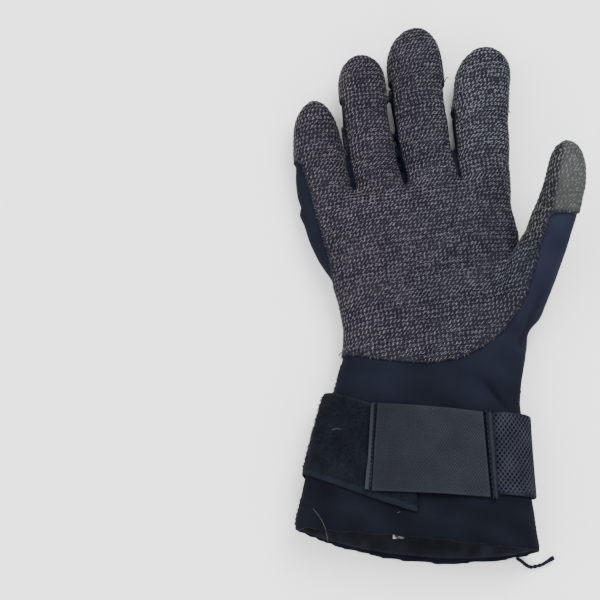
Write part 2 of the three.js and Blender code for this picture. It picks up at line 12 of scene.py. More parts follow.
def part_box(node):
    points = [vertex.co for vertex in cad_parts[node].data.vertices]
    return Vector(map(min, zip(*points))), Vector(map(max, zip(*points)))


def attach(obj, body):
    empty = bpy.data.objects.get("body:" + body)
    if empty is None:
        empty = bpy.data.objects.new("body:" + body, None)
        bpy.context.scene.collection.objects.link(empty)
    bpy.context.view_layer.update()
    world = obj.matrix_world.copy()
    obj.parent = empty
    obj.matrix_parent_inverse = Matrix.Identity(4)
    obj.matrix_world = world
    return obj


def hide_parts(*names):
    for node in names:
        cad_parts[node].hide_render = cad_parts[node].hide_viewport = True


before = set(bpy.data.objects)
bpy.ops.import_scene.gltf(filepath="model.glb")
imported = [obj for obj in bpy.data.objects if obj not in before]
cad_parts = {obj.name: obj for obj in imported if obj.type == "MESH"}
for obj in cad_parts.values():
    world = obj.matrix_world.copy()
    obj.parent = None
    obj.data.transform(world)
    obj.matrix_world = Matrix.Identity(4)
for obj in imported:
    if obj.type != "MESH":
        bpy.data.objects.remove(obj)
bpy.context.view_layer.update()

bl_info = {
    "name": "Diving glove look",
    "version": (1, 0, 0),
    "blender": (4, 5, 0),
    "location": "3D View > Sidebar > Glove",
    "description": "Makes the visible pieces of a diving glove round its packed frame",
    "category": "Object",
}

RUBBER_NODES = ("glove_body", "little_finger", "ring_finger", "middle_finger", "index_finger", "thumb")

# The camera's tilt from straight down, the point it looks at and its distance, in mm
CAMERA_TILT = math.radians(18)
CAMERA_AIM = (-73.9, -9.0, 15.0)
CAMERA_DISTANCE = 930
CAMERA_LENS = 104.1

# The cuff's section under the strap, in mm: two round edges about a flat spine, and its middle
SPINE_LEFT = -56
SPINE_RIGHT = 31
SPINE_HEIGHT = 14
CUFF_MIDDLE = (-13.0, 0, 15.0)

# A finger's points this near to the hand, in mm, are moved this many times as far, so that they join
FINGER_GAP = 0.45
FINGER_OVERLAP = 3

# Levels along the glove, y in mm: the cuff's rim, where its round edge has ended, the knit's lowest
# place, and where the fingers' yarn starts
RIM_Y = -146
RIM_END_Y = -122
KNIT_START_Y = -56
FINGERS_Y = 62

# The thumb's yarn lies past this x and y
THUMB_CORNER = (44, 5)

# The knit's cloth, in mm: its underside and its edge's height above the rubber, and how far inside
# the border the yarn starts
CLOTH_UNDERSIDE = 0.06
CLOTH_EDGE = 0.25
YARN_MARGIN = 1.3

# Where the yarn's light colour turns cooler towards the thumb, x in mm
COOL_FROM = -30
COOL_TO = 50

# The knit's rows: how they slope, and the shortest row and hem that are made, in mm
ROW_SLOPE = 0.15
SHORTEST_ROW = 3
SHORTEST_HEM = 12

# Where rays that look for a surface start, in mm: above it, below it, and this far from the spine
RAY_ABOVE = 90.0
RAY_BELOW = -60.0
RAY_AWAY = 80

# Where the strap's two bands end on the palm side and on the back, x in mm
PALM_END_LEFT = -8
PALM_END_RIGHT = 24
BACK_END = -12

# Steps of the grids that the strap's pieces are laid on, in mm
LOOP_STEP = 0.8
ELASTIC_STEP = 0.42
TAPE_STEP = 0.28
FOLD_STEP = 0.3

# Grid rows by which the elastic runs on under the seam, and the slope of its ridges
LEAD_ROWS = 9
DIAMOND_SLOPE = 0.77

# Thickness of the hook tape and of the seam, and pitches along and across the tape, in mm
TAPE_THICKNESS = 1.3
SEAM_THICKNESS = 1.4
WEAVE_PITCH = (1.5, 2.2)
HOOK_PITCH = (0.75, 1.1)

# The two rows of stitches, as shares of the seam's width, and the step between stitches in mm
SEAM_ROWS = (0.3, 0.62)
STITCH_STEP = 2.4

# The whip stitched side seams: the way along X towards the glove, and their lowest and highest y
WHIPPED_SEAMS = ((1, -144, -44), (-1, -146, -58))

# Creases and ridges of the rubber and of the knit over it: start, end, height (below 0 sinks), width
CREASES = (
    ((22.3, -54.4), (34.0, -70.5), -1.8, 1.9),
    ((26.3, -54.4), (37.0, -69.5), 0.7, 2.4),
    ((54.6, -9.3), (42.6, -35.0), -1.6, 2.4),
    ((47.5, 18.4), (36.4, -7.0), 1.3, 2.4),
    ((42.6, 16.0), (31.0, -6.0), -0.8, 2.6),
    ((-60.0, -50.0), (-20.0, -56.0), 0.7, 5.0),
    ((-62.0, -132.0), (10.0, -131.0), 0.7, 5.0),
)

# Soft swells of the rubber: middle x and y, height (below 0 sinks), width
SWELLS = (
    (-76.0, 56.0, 1.2, 10.0),
    (-74.0, 46.0, 0.9, 6.0),
    (-75.0, 33.0, -0.8, 8.0),
    (-66.0, 108.0, 1.2, 9.0),
    (-40.0, 134.0, 1.4, 9.0),
    (-8.0, 151.0, 1.8, 10.0),
    (27.0, 139.0, 1.6, 9.0),
    (-27.0, 128.0, 1.6, 10.0),
    (-26.0, 108.0, 0.9, 9.0),
    (-22.5, 82.0, 0.8, 7.0),
    (9.0, 122.0, 1.7, 13.0),
    (11.0, 98.0, 1.5, 11.0),
    (42.0, 125.0, 1.2, 11.0),
    (43.0, 105.0, 1.5, 12.0),
    (44.0, 82.0, 1.7, 13.0),
    (45.0, 56.0, 1.8, 14.0),
    (47.0, 31.0, 1.8, 11.0),
)

# The knit's border beside the bare strip below the little finger: y and x, from the finger down
BARE_STRIP = ((70.0, -73.5), (50.1, -68.0), (32.4, -63.6), (15.3, -59.2), (1.1, -55.8), (-8.0, -60.0))
BARE_STRIP_RIGHT = -45

# Corners of the strap's flat pieces, x and y: lower left, upper left, lower right, upper right
TAPE_CORNERS = {
    "hook_patch": ((-38.0, -116.9), (-34.3, -69.8), (23.4, -119.4), (21.0, -73.9)),
    "hook_end_fold": ((-41.2, -116.2), (-36.6, -69.5), (-37.7, -116.5), (-34.1, -69.7)),
    "strap_seam": ((22.8, -119.5), (20.4, -73.6), (27.4, -120.0), (26.2, -74.6)),
}

# The loose thread at the cuff's corner: x, y and z, and the turns of its two plies
THREAD_TAIL = ((38.0, -145.6, 3), (40.7, -147.1, 2), (43.3, -149.1, 1.5), (45.9, -150.1, 1.2),
               (51.1, -149.0, 1.2), (54.8, -147.0, 1.5), (57.4, -145.5, 2))
PLY_TURNS = 7

# Pale fibres that lie on what is under them: x and y
FIBRES = (
    ((-67.2, -123.9), (-63.2, -130.1), (-61.1, -134.9), (-59.4, -137.5)),
    ((-57.4, -83.2), (-55.0, -82.6), (-52.7, -83.4)),
    ((-24.6, -127.8), (-23.9, -127.2), (-23.2, -127.3)),
)

# Dark frayed ends of thread: x, y and z
FRAYS = (
    ((-48.5, -39.8, 14), (-50.6, -39.0, 14.5), (-52.1, -38.3, 14), (-53.4, -39.6, 13)),
    ((4.5, 117.5, 15), (6.6, 118.6, 16), (8.0, 121.2, 16), (9.0, 121.8, 15)),
    ((40.0, 101.0, 14), (42.0, 101.9, 14), (43.2, 101.2, 13)),
)


# Arrays and meshes. Points are in millimetres until they become a mesh.


def ease(low, high, value):
    """0 below low, 1 above high, and a smooth rise between them."""
    share = np.clip((value - low) / (high - low), 0, 1)
    return share * share * (3 - 2 * share)


def unit(vectors):
    """Vectors of length 1."""
    return vectors / np.maximum(np.linalg.norm(vectors, axis=-1, keepdims=True), 1e-9)


def ripple(points, size, seed, terms=7):
    """Soft noise from about -1 to 1, with bumps about size wide."""
    random = np.random.default_rng(seed)
    total = np.zeros(len(points))
    for _ in range(terms):
        direction = unit(random.normal(size=3))
        wave = 2 * math.pi / (size * random.uniform(1.3, 2.9))
        total += np.sin(points @ direction * wave + random.uniform(0, 2 * math.pi))
    return total / math.sqrt(terms)


def mesh_arrays(mesh):
    """A mesh's points and triangles."""
    mesh.calc_loop_triangles()
    points = np.empty(len(mesh.vertices) * 3, dtype=np.float32)
    mesh.vertices.foreach_get("co", points)
    triangles = np.empty(len(mesh.loop_triangles) * 3, dtype=np.int32)
    mesh.loop_triangles.foreach_get("vertices", triangles)
    return points.reshape(-1, 3).astype(float) * 1000, triangles.reshape(-1, 3).astype(int)


def tree_of(node):
    """A search tree of a CAD node, in millimetres."""
    points, triangles = mesh_arrays(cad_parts[node].data)
    return BVHTree.FromPolygons(points.tolist(), triangles.tolist())


def edges_of(triangles):
    """The three directed edges of each triangle, as pairs of points."""
    return np.concatenate([triangles[:, [0, 1]], triangles[:, [1, 2]], triangles[:, [2, 0]]])


def set_points(mesh, points):
    """Moves a mesh's points to places in millimetres."""
    mesh.vertices.foreach_set("co", (points / 1000).astype(np.float32).ravel())


def set_tone(mesh, tone):
    """Stores a tone from 0 to 1 at each point, which the cloth materials read."""
    layer = mesh.attributes.new("tone", "FLOAT", "POINT")
    layer.data.foreach_set("value", np.asarray(tone).astype(np.float32))


def rising(count):
    """An arrow straight up for each of count points."""
    return np.tile([0, 0, 1.0], (count, 1))


def normals_of(points, triangles):
    """The normal at each point, weighed by the triangles round it."""
    a, b, c = (points[triangles[:, k]] for k in range(3))
    facing = np.cross(b - a, c - a)
    normals = np.zeros_like(points)
    for k in range(3):
        np.add.at(normals, triangles[:, k], facing)
    return unit(normals)


def soften(values, triangles, rounds):
    """Values at points, each moved half way to its neighbours' mean, some rounds."""
    ends = edges_of(triangles)
    count = np.maximum(np.bincount(ends.ravel(), minlength=len(values)), 1)
    for _ in range(rounds):
        total = np.bincount(ends[:, 0], values[ends[:, 1]], len(values))
        total += np.bincount(ends[:, 1], values[ends[:, 0]], len(values))
        values = 0.5 * values + 0.5 * total / count
    return values


def new_object(name, points, faces, tone=None):
    """An object from points and arrays of faces, with a tone from 0 to 1 at each point."""
    mesh = bpy.data.meshes.new(name)
    corners = np.concatenate([part.ravel() for part in faces]).astype(np.int32)
    sizes = np.concatenate([np.full(len(part), part.shape[1]) for part in faces])
    starts = np.concatenate([[0], np.cumsum(sizes)[:-1]]).astype(np.int32)
    points = np.array(points)
    points[:, 2] = np.maximum(points[:, 2], 0)
    mesh.vertices.add(len(points))
    set_points(mesh, points)
    mesh.loops.add(len(corners))
    mesh.loops.foreach_set("vertex_index", corners)
    mesh.polygons.add(len(sizes))
    mesh.polygons.foreach_set("loop_start", starts)
    mesh.update(calc_edges=True)
    if tone is not None:
        set_tone(mesh, tone)
    mesh.validate()
    mesh.shade_smooth()
    piece = bpy.data.objects.new(name, mesh)
    bpy.context.scene.collection.objects.link(piece)
    return piece


def only(piece):
    """Selects one object and nothing else."""
    bpy.ops.object.select_all(action="DESELECT")
    piece.select_set(True)
    bpy.context.view_layer.objects.active = piece


def apply_modifier(piece, name, kind, **settings):
    """Adds a modifier with its settings and applies it."""
    modifier = piece.modifiers.new(name, kind)
    for setting, value in settings.items():
        setattr(modifier, setting, value)
    only(piece)
    bpy.ops.object.modifier_apply(modifier=name)


def copy_of(node, name):
    """A new object with a CAD node's mesh, its loose triangles merged."""
    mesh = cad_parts[node].data.copy()
    mesh.materials.clear()
    piece = bpy.data.objects.new(name, mesh)
    bpy.context.scene.collection.objects.link(piece)
    only(piece)
    bpy.ops.object.mode_set(mode="EDIT")
    bpy.ops.mesh.select_all(action="SELECT")
    bpy.ops.mesh.remove_doubles(threshold=0.00001)
    bpy.ops.object.mode_set(mode="OBJECT")
    return piece


def finish_piece(piece, material, slot, *nodes):
    """Gives a piece its material, lets it ride and hides the nodes that it stands for. Its slot is not
    used.
    """
    piece.data.materials.clear()
    piece.data.materials.append(material)
    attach(piece, "root")
    if nodes:
        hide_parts(*nodes)


def joined(parts):
    """Several (points, faces, tone) as one, with the faces grouped by their number of corners."""
    points = np.concatenate([part[0] for part in parts])
    tone = np.concatenate([part[2] for part in parts])
    groups = {}
    offset = 0
    for part in parts:
        for face in part[1]:
            groups.setdefault(face.shape[1], []).append(face + offset)
        offset += len(part[0])
    return points, [np.concatenate(group) for group in groups.values()], tone


def sweep(centres, up, wide, high, sides, closed=False, tone=None):
    """A tube along centres with an oval section: wide to its sides and high along up."""
    count = len(centres)
    if closed:
        ahead = np.roll(centres, -1, axis=0) - np.roll(centres, 1, axis=0)
    else:
        ahead = np.gradient(centres, axis=0)
    ahead = unit(ahead)
    across = unit(np.cross(up, ahead))
    rise = np.cross(ahead, across)
    angles = (np.arange(sides) + 0.5) * 2 * math.pi / sides
    wide = np.broadcast_to(wide, count)[:, None, None]
    high = np.broadcast_to(high, count)[:, None, None]
    ring = across[:, None] * np.cos(angles)[None, :, None] * wide
    ring = ring + rise[:, None] * np.sin(angles)[None, :, None] * high
    points = (centres[:, None] + ring).reshape(-1, 3)
    row = np.arange(count if closed else count - 1)[:, None]
    following = (row + 1) % count
    column = np.arange(sides)[None, :]
    beside = (column + 1) % sides
    corners = (row * sides + column, row * sides + beside, following * sides + beside,
               following * sides + column)
    faces = [np.stack(np.broadcast_arrays(*corners), -1).reshape(-1, 4)]
    if not closed:
        faces.append(np.arange(sides)[::-1][None])
        faces.append(np.arange(sides)[None] + (count - 1) * sides)
    tone = np.full(count, 0.5) if tone is None else tone
    return points, faces, np.repeat(tone, sides)


def stitch_shape(half, shoulder, top, foot, wide, high, sides):
    """One stitch along X: a low arch whose two feet, half its length away, sink in the cloth."""
    left = [[-half, 0, foot], [-shoulder, 0, 0.12]]
    right = [[shoulder, 0, 0.12], [half, 0, foot]]
    places = np.array([*left, [0, 0, top], *right])
    return sweep(places, rising(len(places)), wide, high, sides)


def copies(shape, places, along, across, up, tone):
    """Copies of one small shape, each at its own place with its own three axes."""
    points, faces, _ = shape
    spread = places[:, None] + points[None, :, 0:1] * along[:, None]
    spread = spread + points[None, :, 1:2] * across[:, None] + points[None, :, 2:3] * up[:, None]
    shift = np.arange(len(places))[:, None, None] * len(points)
    copied = [(face[None] + shift).reshape(-1, face.shape[1]) for face in faces]
    return spread.reshape(-1, 3), copied, np.repeat(tone, len(points))


def cut_at_zero(points, values, carried, triangles):
    """The triangles where values are above 0, cut clean along 0. Returns all four again."""
    count = len(points)
    values = np.where(np.abs(values) < 1e-3, 1e-3, values)
    table = np.hstack([points, values[:, None], carried])
    inside = values > 0
    many = inside[triangles].sum(axis=1)
    mixed = triangles[(many == 1) | (many == 2)]
    lonely = many[(many == 1) | (many == 2)] == 1
    flags = inside[mixed]
    first = np.where(lonely, np.argmax(flags, axis=1), np.argmin(flags, axis=1))
    mixed = np.take_along_axis(mixed, (first[:, None] + np.arange(3)) % 3, axis=1)
    a, b, c = mixed.T
    keys = np.concatenate([np.minimum(a, b) * count + np.maximum(a, b),
                           np.minimum(a, c) * count + np.maximum(a, c)])
    single, place = np.unique(keys, return_inverse=True)
    low, high = single // count, single % count
    share = (values[low] / (values[low] - values[high]))[:, None]
    table = np.vstack([table, table[low] + (table[high] - table[low]) * share])
    ab, ac = count + place[:len(a)], count + place[len(a):]
    kept = [
        triangles[many == 3],
        np.stack([a, ab, ac], 1)[lonely],
        np.stack([ab, b, c], 1)[~lonely],
        np.stack([ab, c, ac], 1)[~lonely],
    ]
    kept = np.concatenate(kept)
    used, renamed = np.unique(kept, return_inverse=True)
    table = table[used]
    return table[:, :3], table[:, 3], table[:, 4:], renamed.reshape(-1, 3)


def rim_edges(triangles, count):
    """The directed edges of triangles that have no neighbour."""
    edges = edges_of(triangles)
    forward = edges[:, 0] * count + edges[:, 1]
    backward = edges[:, 1] * count + edges[:, 0]
    return edges[~np.isin(forward, backward)]


def level_lines(values, triangles, table, step):
    """Lines on a triangle mesh where values are whole steps: a list of (rows of table, closed)."""
    count = len(values)
    scaled = values / step
    corner = scaled[triangles]
    first = np.ceil(corner.min(axis=1))
    ends, keys = [], []
    for level in (first, first + 1):
        cut = (level < corner.max(axis=1)) & (level >= corner.min(axis=1))
        chosen, height = triangles[cut], level[cut]
        above = scaled[chosen] > height[:, None]
        crossing = []
        for k in range(3):
            i, j = chosen[:, k], chosen[:, (k + 1) % 3]
            crossing.append(above[:, k] != above[:, (k + 1) % 3])
            low, high = np.minimum(i, j), np.maximum(i, j)
            keys.append(((low * count + high), height.astype(int)))
        crossing = np.stack(crossing, 1)
        sides = np.stack([keys[-3][0], keys[-2][0], keys[-1][0]], 1)
        good = crossing.sum(axis=1) == 2
        pairs = sides[good][crossing[good]].reshape(-1, 2)
        ends.append(np.hstack([pairs, height[good].astype(int)[:, None]]))
    ends = np.concatenate(ends)
    span = int(ends[:, 2].max() - ends[:, 2].min()) + 1
    base = ends[:, 2] - ends[:, 2].min()
    nodes = np.concatenate([ends[:, 0] * span + base, ends[:, 1] * span + base])
    single, place = np.unique(nodes, return_inverse=True)
    edge, level = single // span, single % span + ends[:, 2].min()
    low, high = edge // count, edge % count
    share = ((level - scaled[low]) / (scaled[high] - scaled[low]))[:, None]
    rows = table[low] + (table[high] - table[low]) * share
    half = len(ends)
    links = [[] for _ in range(len(single))]
    for a, b in zip(place[:half].tolist(), place[half:].tolist()):
        links[a].append(b)
        links[b].append(a)
    used = np.zeros(len(single), dtype=bool)
    lines = []
    starts = [index for index, near in enumerate(links) if len(near) == 1]
    for start in starts + list(range(len(single))):
        if used[start]:
            continue
        line = [start]
        used[start] = True
        while True:
            ahead = [near for near in links[line[-1]] if not used[near]]
            if not ahead:
                break
            line.append(ahead[0])
            used[ahead[0]] = True
        closed = len(line) > 3 and line[0] in links[line[-1]]
        if len(line) > 2:
            lines.append((rows[line], closed))
    return lines


def resampled(line, closed, step):
    """A line's rows at even steps along it. The first three columns are the place."""
    if closed:
        line = np.vstack([line, line[:1]])
    lengths = np.linalg.norm(np.diff(line[:, :3], axis=0), axis=1)
    along = np.concatenate([[0], np.cumsum(lengths)])
    count = max(4, int(along[-1] / step))
    places = np.linspace(0, along[-1], count, endpoint=not closed)
    return np.stack([np.interp(places, along, column) for column in line.T], 1), along[-1]


def blur(rows, rounds, closed):
    """Rows averaged with their neighbours along the line, with the ends kept."""
    for _ in range(rounds):
        if closed:
            rows = 0.5 * rows + 0.25 * (np.roll(rows, 1, axis=0) + np.roll(rows, -1, axis=0))
        else:
            rows = rows.copy()
            rows[1:-1] = 0.5 * rows[1:-1] + 0.25 * (rows[:-2] + rows[2:])
    return rows


def curve_through(points, count):
    """A smooth line through a few points."""
    points = np.asarray(points, dtype=float)
    line = np.vstack([2 * points[0] - points[1], points, 2 * points[-1] - points[-2]])
    places = np.linspace(0, len(points) - 1 - 1e-6, count)
    index = places.astype(int)
    t = (places - index)[:, None]
    a, b, c, d = (line[index + k] for k in range(4))
    bend = 2 * a - 5 * b + 4 * c - d
    twist = 3 * b - a - 3 * c + d
    return 0.5 * (2 * b + (c - a) * t + bend * t ** 2 + twist * t ** 3)


def slab(name, top, bottom, tone, skip=4):
    """A closed sheet from two grids of points. Its underside has coarser faces."""
    rows, columns = top.shape[:2]
    number = np.arange(rows * columns).reshape(rows, columns)
    under = number + rows * columns
    quads = [np.stack([number[:-1, :-1], number[1:, :-1], number[1:, 1:], number[:-1, 1:]], -1)]
    faces = [quads[0].reshape(-1, 4)]
    rim = np.concatenate([number[:, 0], number[-1, 1:], number[::-1, -1][1:], number[0, ::-1][1:-1]])
    ahead = np.roll(rim, -1)
    faces.append(np.stack([ahead, rim, rim + rows * columns, ahead + rows * columns], -1))
    row_stops = sorted(set(range(0, rows - 1, skip)) | {rows - 1})
    column_stops = sorted(set(range(0, columns - 1, skip)) | {columns - 1})
    polygons = {}
    for r0, r1 in zip(row_stops, row_stops[1:]):
        for c0, c1 in zip(column_stops, column_stops[1:]):
            left = range(r0, r1) if c0 == 0 else [r0]
            low = range(c0, c1) if r1 == rows - 1 else [c0]
            right = range(r1, r0, -1) if c1 == columns - 1 else [r1]
            high = range(c1, c0, -1) if r0 == 0 else [c1]
            face = [under[r, c0] for r in left] + [under[r1, c] for c in low]
            face += [under[r, c1] for r in right] + [under[r0, c] for c in high]
            polygons.setdefault(len(face), []).append(face[::-1])
    faces += [np.array(group) for group in polygons.values()]
    points = np.concatenate([top.reshape(-1, 3), bottom.reshape(-1, 3)])
    tone = np.concatenate([tone.ravel(), tone.ravel()])
    return new_object(name, points, faces, tone)


# Materials


def cloth_material(name, dark, light, rough, gloss=0.035, sheen=0.0, patches=0.12, weave=None,
                   cool=None):
    """A cloth: its colour goes from dark to light by the mesh's tone, with patches and a fine weave.

    cool is the light colour at the thumb's side, where it differs.
    """
    material = bpy.data.materials.new(name)
    material.use_nodes = True
    nodes, links = material.node_tree.nodes, material.node_tree.links
    shader = nodes["Principled BSDF"]
    shader.inputs["Roughness"].default_value = rough
    shader.inputs["Specular IOR Level"].default_value = gloss
    shader.inputs["Sheen Weight"].default_value = sheen
    shader.inputs["Sheen Roughness"].default_value = 0.5
    place = nodes.new("ShaderNodeTexCoord")
    tone = nodes.new("ShaderNodeAttribute")
    tone.attribute_name = "tone"
    blend = nodes.new("ShaderNodeMix")
    blend.data_type = "RGBA"
    blend.inputs["A"].default_value = (*dark, 1)
    blend.inputs["B"].default_value = (*light, 1)
    links.new(tone.outputs["Fac"], blend.inputs["Factor"])
    if cool:
        parts = nodes.new("ShaderNodeSeparateXYZ")
        links.new(place.outputs["Object"], parts.inputs["Vector"])
        across = nodes.new("ShaderNodeMapRange")
        across.inputs["From Min"].default_value = COOL_FROM / 1000
        across.inputs["From Max"].default_value = COOL_TO / 1000
        links.new(parts.outputs["X"], across.inputs["Value"])
        tint = nodes.new("ShaderNodeMix")
        tint.data_type = "RGBA"
        tint.inputs["A"].default_value = (*light, 1)
        tint.inputs["B"].default_value = (*cool, 1)
        links.new(across.outputs["Result"], tint.inputs["Factor"])
        links.new(tint.outputs["Result"], blend.inputs["B"])
    noise = nodes.new("ShaderNodeTexNoise")
    noise.inputs["Scale"].default_value = 90
    noise.inputs["Detail"].default_value = 6
    links.new(place.outputs["Object"], noise.inputs["Vector"])
    swing = nodes.new("ShaderNodeMapRange")
    swing.inputs["From Min"].default_value = 0.3
    swing.inputs["From Max"].default_value = 0.7
    swing.inputs["To Min"].default_value = 1 - patches
    swing.inputs["To Max"].default_value = 1 + patches
    links.new(noise.outputs["Fac"], swing.inputs["Value"])
    scaled = nodes.new("ShaderNodeVectorMath")
    scaled.operation = "SCALE"
    links.new(blend.outputs["Result"], scaled.inputs[0])
    links.new(swing.outputs["Result"], scaled.inputs["Scale"])
    links.new(scaled.outputs["Vector"], shader.inputs["Base Color"])
    fine = nodes.new("ShaderNodeTexNoise")
    fine.inputs["Scale"].default_value = 1800
    fine.inputs["Detail"].default_value = 3
    links.new(place.outputs["Object"], fine.inputs["Vector"])
    bump = nodes.new("ShaderNodeBump")
    bump.inputs["Strength"].default_value = 0.5
    bump.inputs["Distance"].default_value = 0.0002
    links.new(fine.outputs["Fac"], bump.inputs["Height"])
    if weave:
        ribs = nodes.new("ShaderNodeTexWave")
        ribs.inputs["Scale"].default_value = weave
        ribs.inputs["Distortion"].default_value = 2.0
        ribs.inputs["Detail"].default_value = 2
        links.new(place.outputs["Object"], ribs.inputs["Vector"])
        second = nodes.new("ShaderNodeBump")
        second.inputs["Strength"].default_value = 0.45
        second.inputs["Distance"].default_value = 0.00025
        links.new(ribs.outputs["Fac"], second.inputs["Height"])
        links.new(bump.outputs["Normal"], second.inputs["Normal"])
        bump = second
    links.new(bump.outputs["Normal"], shader.inputs["Normal"])
    return material


# Sizes and colours that a user would change


def colour(name, description, value):
    """A colour setting."""
    return FloatVectorProperty(name=name, description=description, default=value, subtype="COLOR",
                               size=3, min=0, max=1)


def length(name, description, value):
    """A length setting in millimetres."""
    return FloatProperty(name=name, description=description, default=value, min=0)


class GloveSizes(bpy.types.PropertyGroup):
    """Sizes of the glove's pieces, in millimetres."""

    voxel: length("Shell grain", "Size of the shell's faces in mm", 1.5)
    softness: IntProperty(name="Shell softness", description="Rounds of smoothing", default=26, min=0)
    cloth_rise: length("Cloth rise", "How far the knit's ground stands on the rubber, in mm", 1.0)
    row_pitch: length("Row pitch", "Distance between the knit's rows in mm", 2.4)
    stitch_pitch: length("Stitch pitch", "Length of one stitch along a row in mm", 2.2)
    yarn: length("Yarn", "Yarn's radius in mm", 0.23)
    yarn_gap: length("Yarn gap", "How far each of a row's two yarns lies from its middle in mm", 0.42)
    swing: length("Yarn swing", "How far the yarn swings to each side of its row in mm", 0.5)
    hem: length("Hem width", "Width of the knit's rolled edge in mm", 1.7)
    diamond: length("Elastic pitch", "Width of the elastic's diamonds in mm", 2.4)
    strap: length("Strap thickness", "Thickness of the strap's bands in mm", 1.7)
    tufts: IntProperty(name="Tufts", description="Number of loop tufts", default=5000, min=0)


class GloveColours(bpy.types.PropertyGroup):
    """Colours of the glove's pieces."""

    rubber_dark: colour("Rubber, dark", "Shaded parts of the rubber's cloth face", (0.003, 0.0035, 0.006))
    # The rubber's light colour is a painted highlight where light falls on the thumb side
    rubber_lit: colour("Rubber, light", "Painted highlight on lit parts of the rubber's cloth face", (0.0125, 0.0145, 0.027))
    ground: colour("Knit ground", "Dark ground of the knit", (0.008, 0.007, 0.012))
    # The thumb's ground colour is painted light, where the thumb's outer side faces the light
    ground_thumb_lit: colour("Thumb's ground", "Ground of the knit on the thumb's end", (0.042, 0.045, 0.044))
    # The yarn's dark colour is a painted shade where the yarn dips into the ground
    yarn_dark: colour("Yarn, dark", "Yarn where it dips", (0.010, 0.010, 0.013))
    yarn_light: colour("Yarn, light", "Yarn at its highest", (0.202, 0.182, 0.205))
    yarn_cool: colour("Yarn, thumb side", "Yarn's light colour towards the thumb", (0.155, 0.18, 0.205))
    thumb_light: colour("Thumb yarn", "Light yarn on the thumb's end", (0.19, 0.20, 0.19))
    loop: colour("Loop tape", "Brushed loop tape", (0.004, 0.005, 0.0075))
    loop_edge: colour("Loop tape's edge", "Smooth edge of the loop tape", (0.007, 0.009, 0.013))
    # The elastic's dark colour is a painted shade in the hollows between its ridges
    elastic_dark: colour("Elastic, holes", "Holes of the elastic", (0.002, 0.0025, 0.006))
    elastic_light: colour("Elastic, ridges", "Ridges of the elastic", (0.024, 0.026, 0.035))
    hook_dark: colour("Hook tape, ground", "Ground of the hook tape", (0.005, 0.0055, 0.008))
    hook_light: colour("Hook tape, hooks", "Hooks and edges of the hook tape", (0.028, 0.031, 0.042))
    lining: colour("Lining", "Plush lining", (0.009, 0.010, 0.013))
    label: colour("Label", "Satin label", (0.70, 0.69, 0.65))
    thread: colour("Thread", "Sewing thread", (0.006, 0.006, 0.007))
    lint: colour("Lint", "Pale stray fibres", (0.14, 0.135, 0.125))
    floor: colour("Floor", "Pale floor", (0.95, 0.95, 0.95))


# What one operator leaves for the next ones: the shell's and the cloth's points, normals, triangles
# and distance to the knit's border
made = {}


class StageOperator(bpy.types.Operator):
    """Pale floor, soft lights and a camera at the photograph's angle."""

    bl_idname = "glove.stage"
    bl_label = "Stage"

    def execute(self, context):
        colours = context.scene.glove_colours
        bpy.ops.object.select_all(action="DESELECT")
        bpy.ops.mesh.primitive_plane_add(size=8, location=(0, 0, 0))
        floor = context.object
        floor.name = "floor"
        floor.location.z = -0.0004
        material = bpy.data.materials.new("pale_floor")
        material.use_nodes = True
        shader = material.node_tree.nodes["Principled BSDF"]
        shader.inputs["Base Color"].default_value = (*colours.floor, 1)
        shader.inputs["Roughness"].default_value = 0.9
        floor.data.materials.append(material)
        lamps = (
            ("key", (0.55, 0.75, 1.5), 1.1, 44),
            ("fill", (-1.0, -0.2, 1.2), 1.4, 20),
            ("front", (0.1, -1.1, 1.1), 1.2, 14),
        )
        for name, place, size, power in lamps:
            light = bpy.data.lights.new(name, "AREA")
            light.size = size
            light.energy = power
            lamp = bpy.data.objects.new(name, light)
            lamp.location = place
            lamp.rotation_euler = (-Vector(place)).to_track_quat("-Z", "Y").to_euler()
            context.scene.collection.objects.link(lamp)
        world = bpy.data.worlds.new("pale_room")
        world.use_nodes = True
        world.node_tree.nodes["Background"].inputs["Color"].default_value = (1, 1, 1, 1)
        world.node_tree.nodes["Background"].inputs["Strength"].default_value = 1.1
        context.scene.world = world
        lens = bpy.data.cameras.new("camera")
        lens.lens = CAMERA_LENS
        lens.sensor_width = 36
        camera = bpy.data.objects.new("camera", lens)
        back = Vector((0, -math.sin(CAMERA_TILT), math.cos(CAMERA_TILT))) * CAMERA_DISTANCE
        camera.location = (Vector(CAMERA_AIM) + back) / 1000
        camera.rotation_euler = (CAMERA_TILT, 0, 0)
        context.scene.collection.objects.link(camera)
        context.scene.camera = camera
        return {"FINISHED"}


def swell_height(points):
    """How far the swells lift the shell, in mm."""
    total = np.zeros(len(points))
    for x, y, height, width in SWELLS:
        total += height * np.exp(-((points[:, 0] - x) ** 2 + (points[:, 1] - y) ** 2) / width ** 2)
    return total


def crease_height(points, normals):
    """How far the creases and ridges lift the palm side, in mm."""
    total = np.zeros(len(points))
    for start, end, height, width in CREASES:
        a, b = np.array(start), np.array(end)
        share = np.clip(((points[:, :2] - a) @ (b - a)) / ((b - a) @ (b - a)), 0, 1)
        away = np.linalg.norm(points[:, :2] - a - share[:, None] * (b - a), axis=1)
        taper = np.sqrt(np.clip(4 * (share + 0.1) * (1.1 - share) / 1.44, 0, 1))
        total += height * np.exp(-(away / width) ** 2) * taper
    return total * ease(-0.1, 0.3, normals[:, 2])


def outer_points(points, triangles):
    """True for the points on the shell's outside, found from a fingertip without passing the rim."""
    ends = edges_of(triangles)
    kept = points[:, 1] > RIM_END_Y
    ends = ends[kept[ends].all(axis=1)]
    reached = np.zeros(len(points), dtype=bool)
    reached[np.argmax(points[:, 1])] = True
    count = 0
    while reached.sum() > count:
        count = reached.sum()
        reached[ends[reached[ends[:, 0]], 1]] = True
        reached[ends[reached[ends[:, 1]], 0]] = True
    return reached


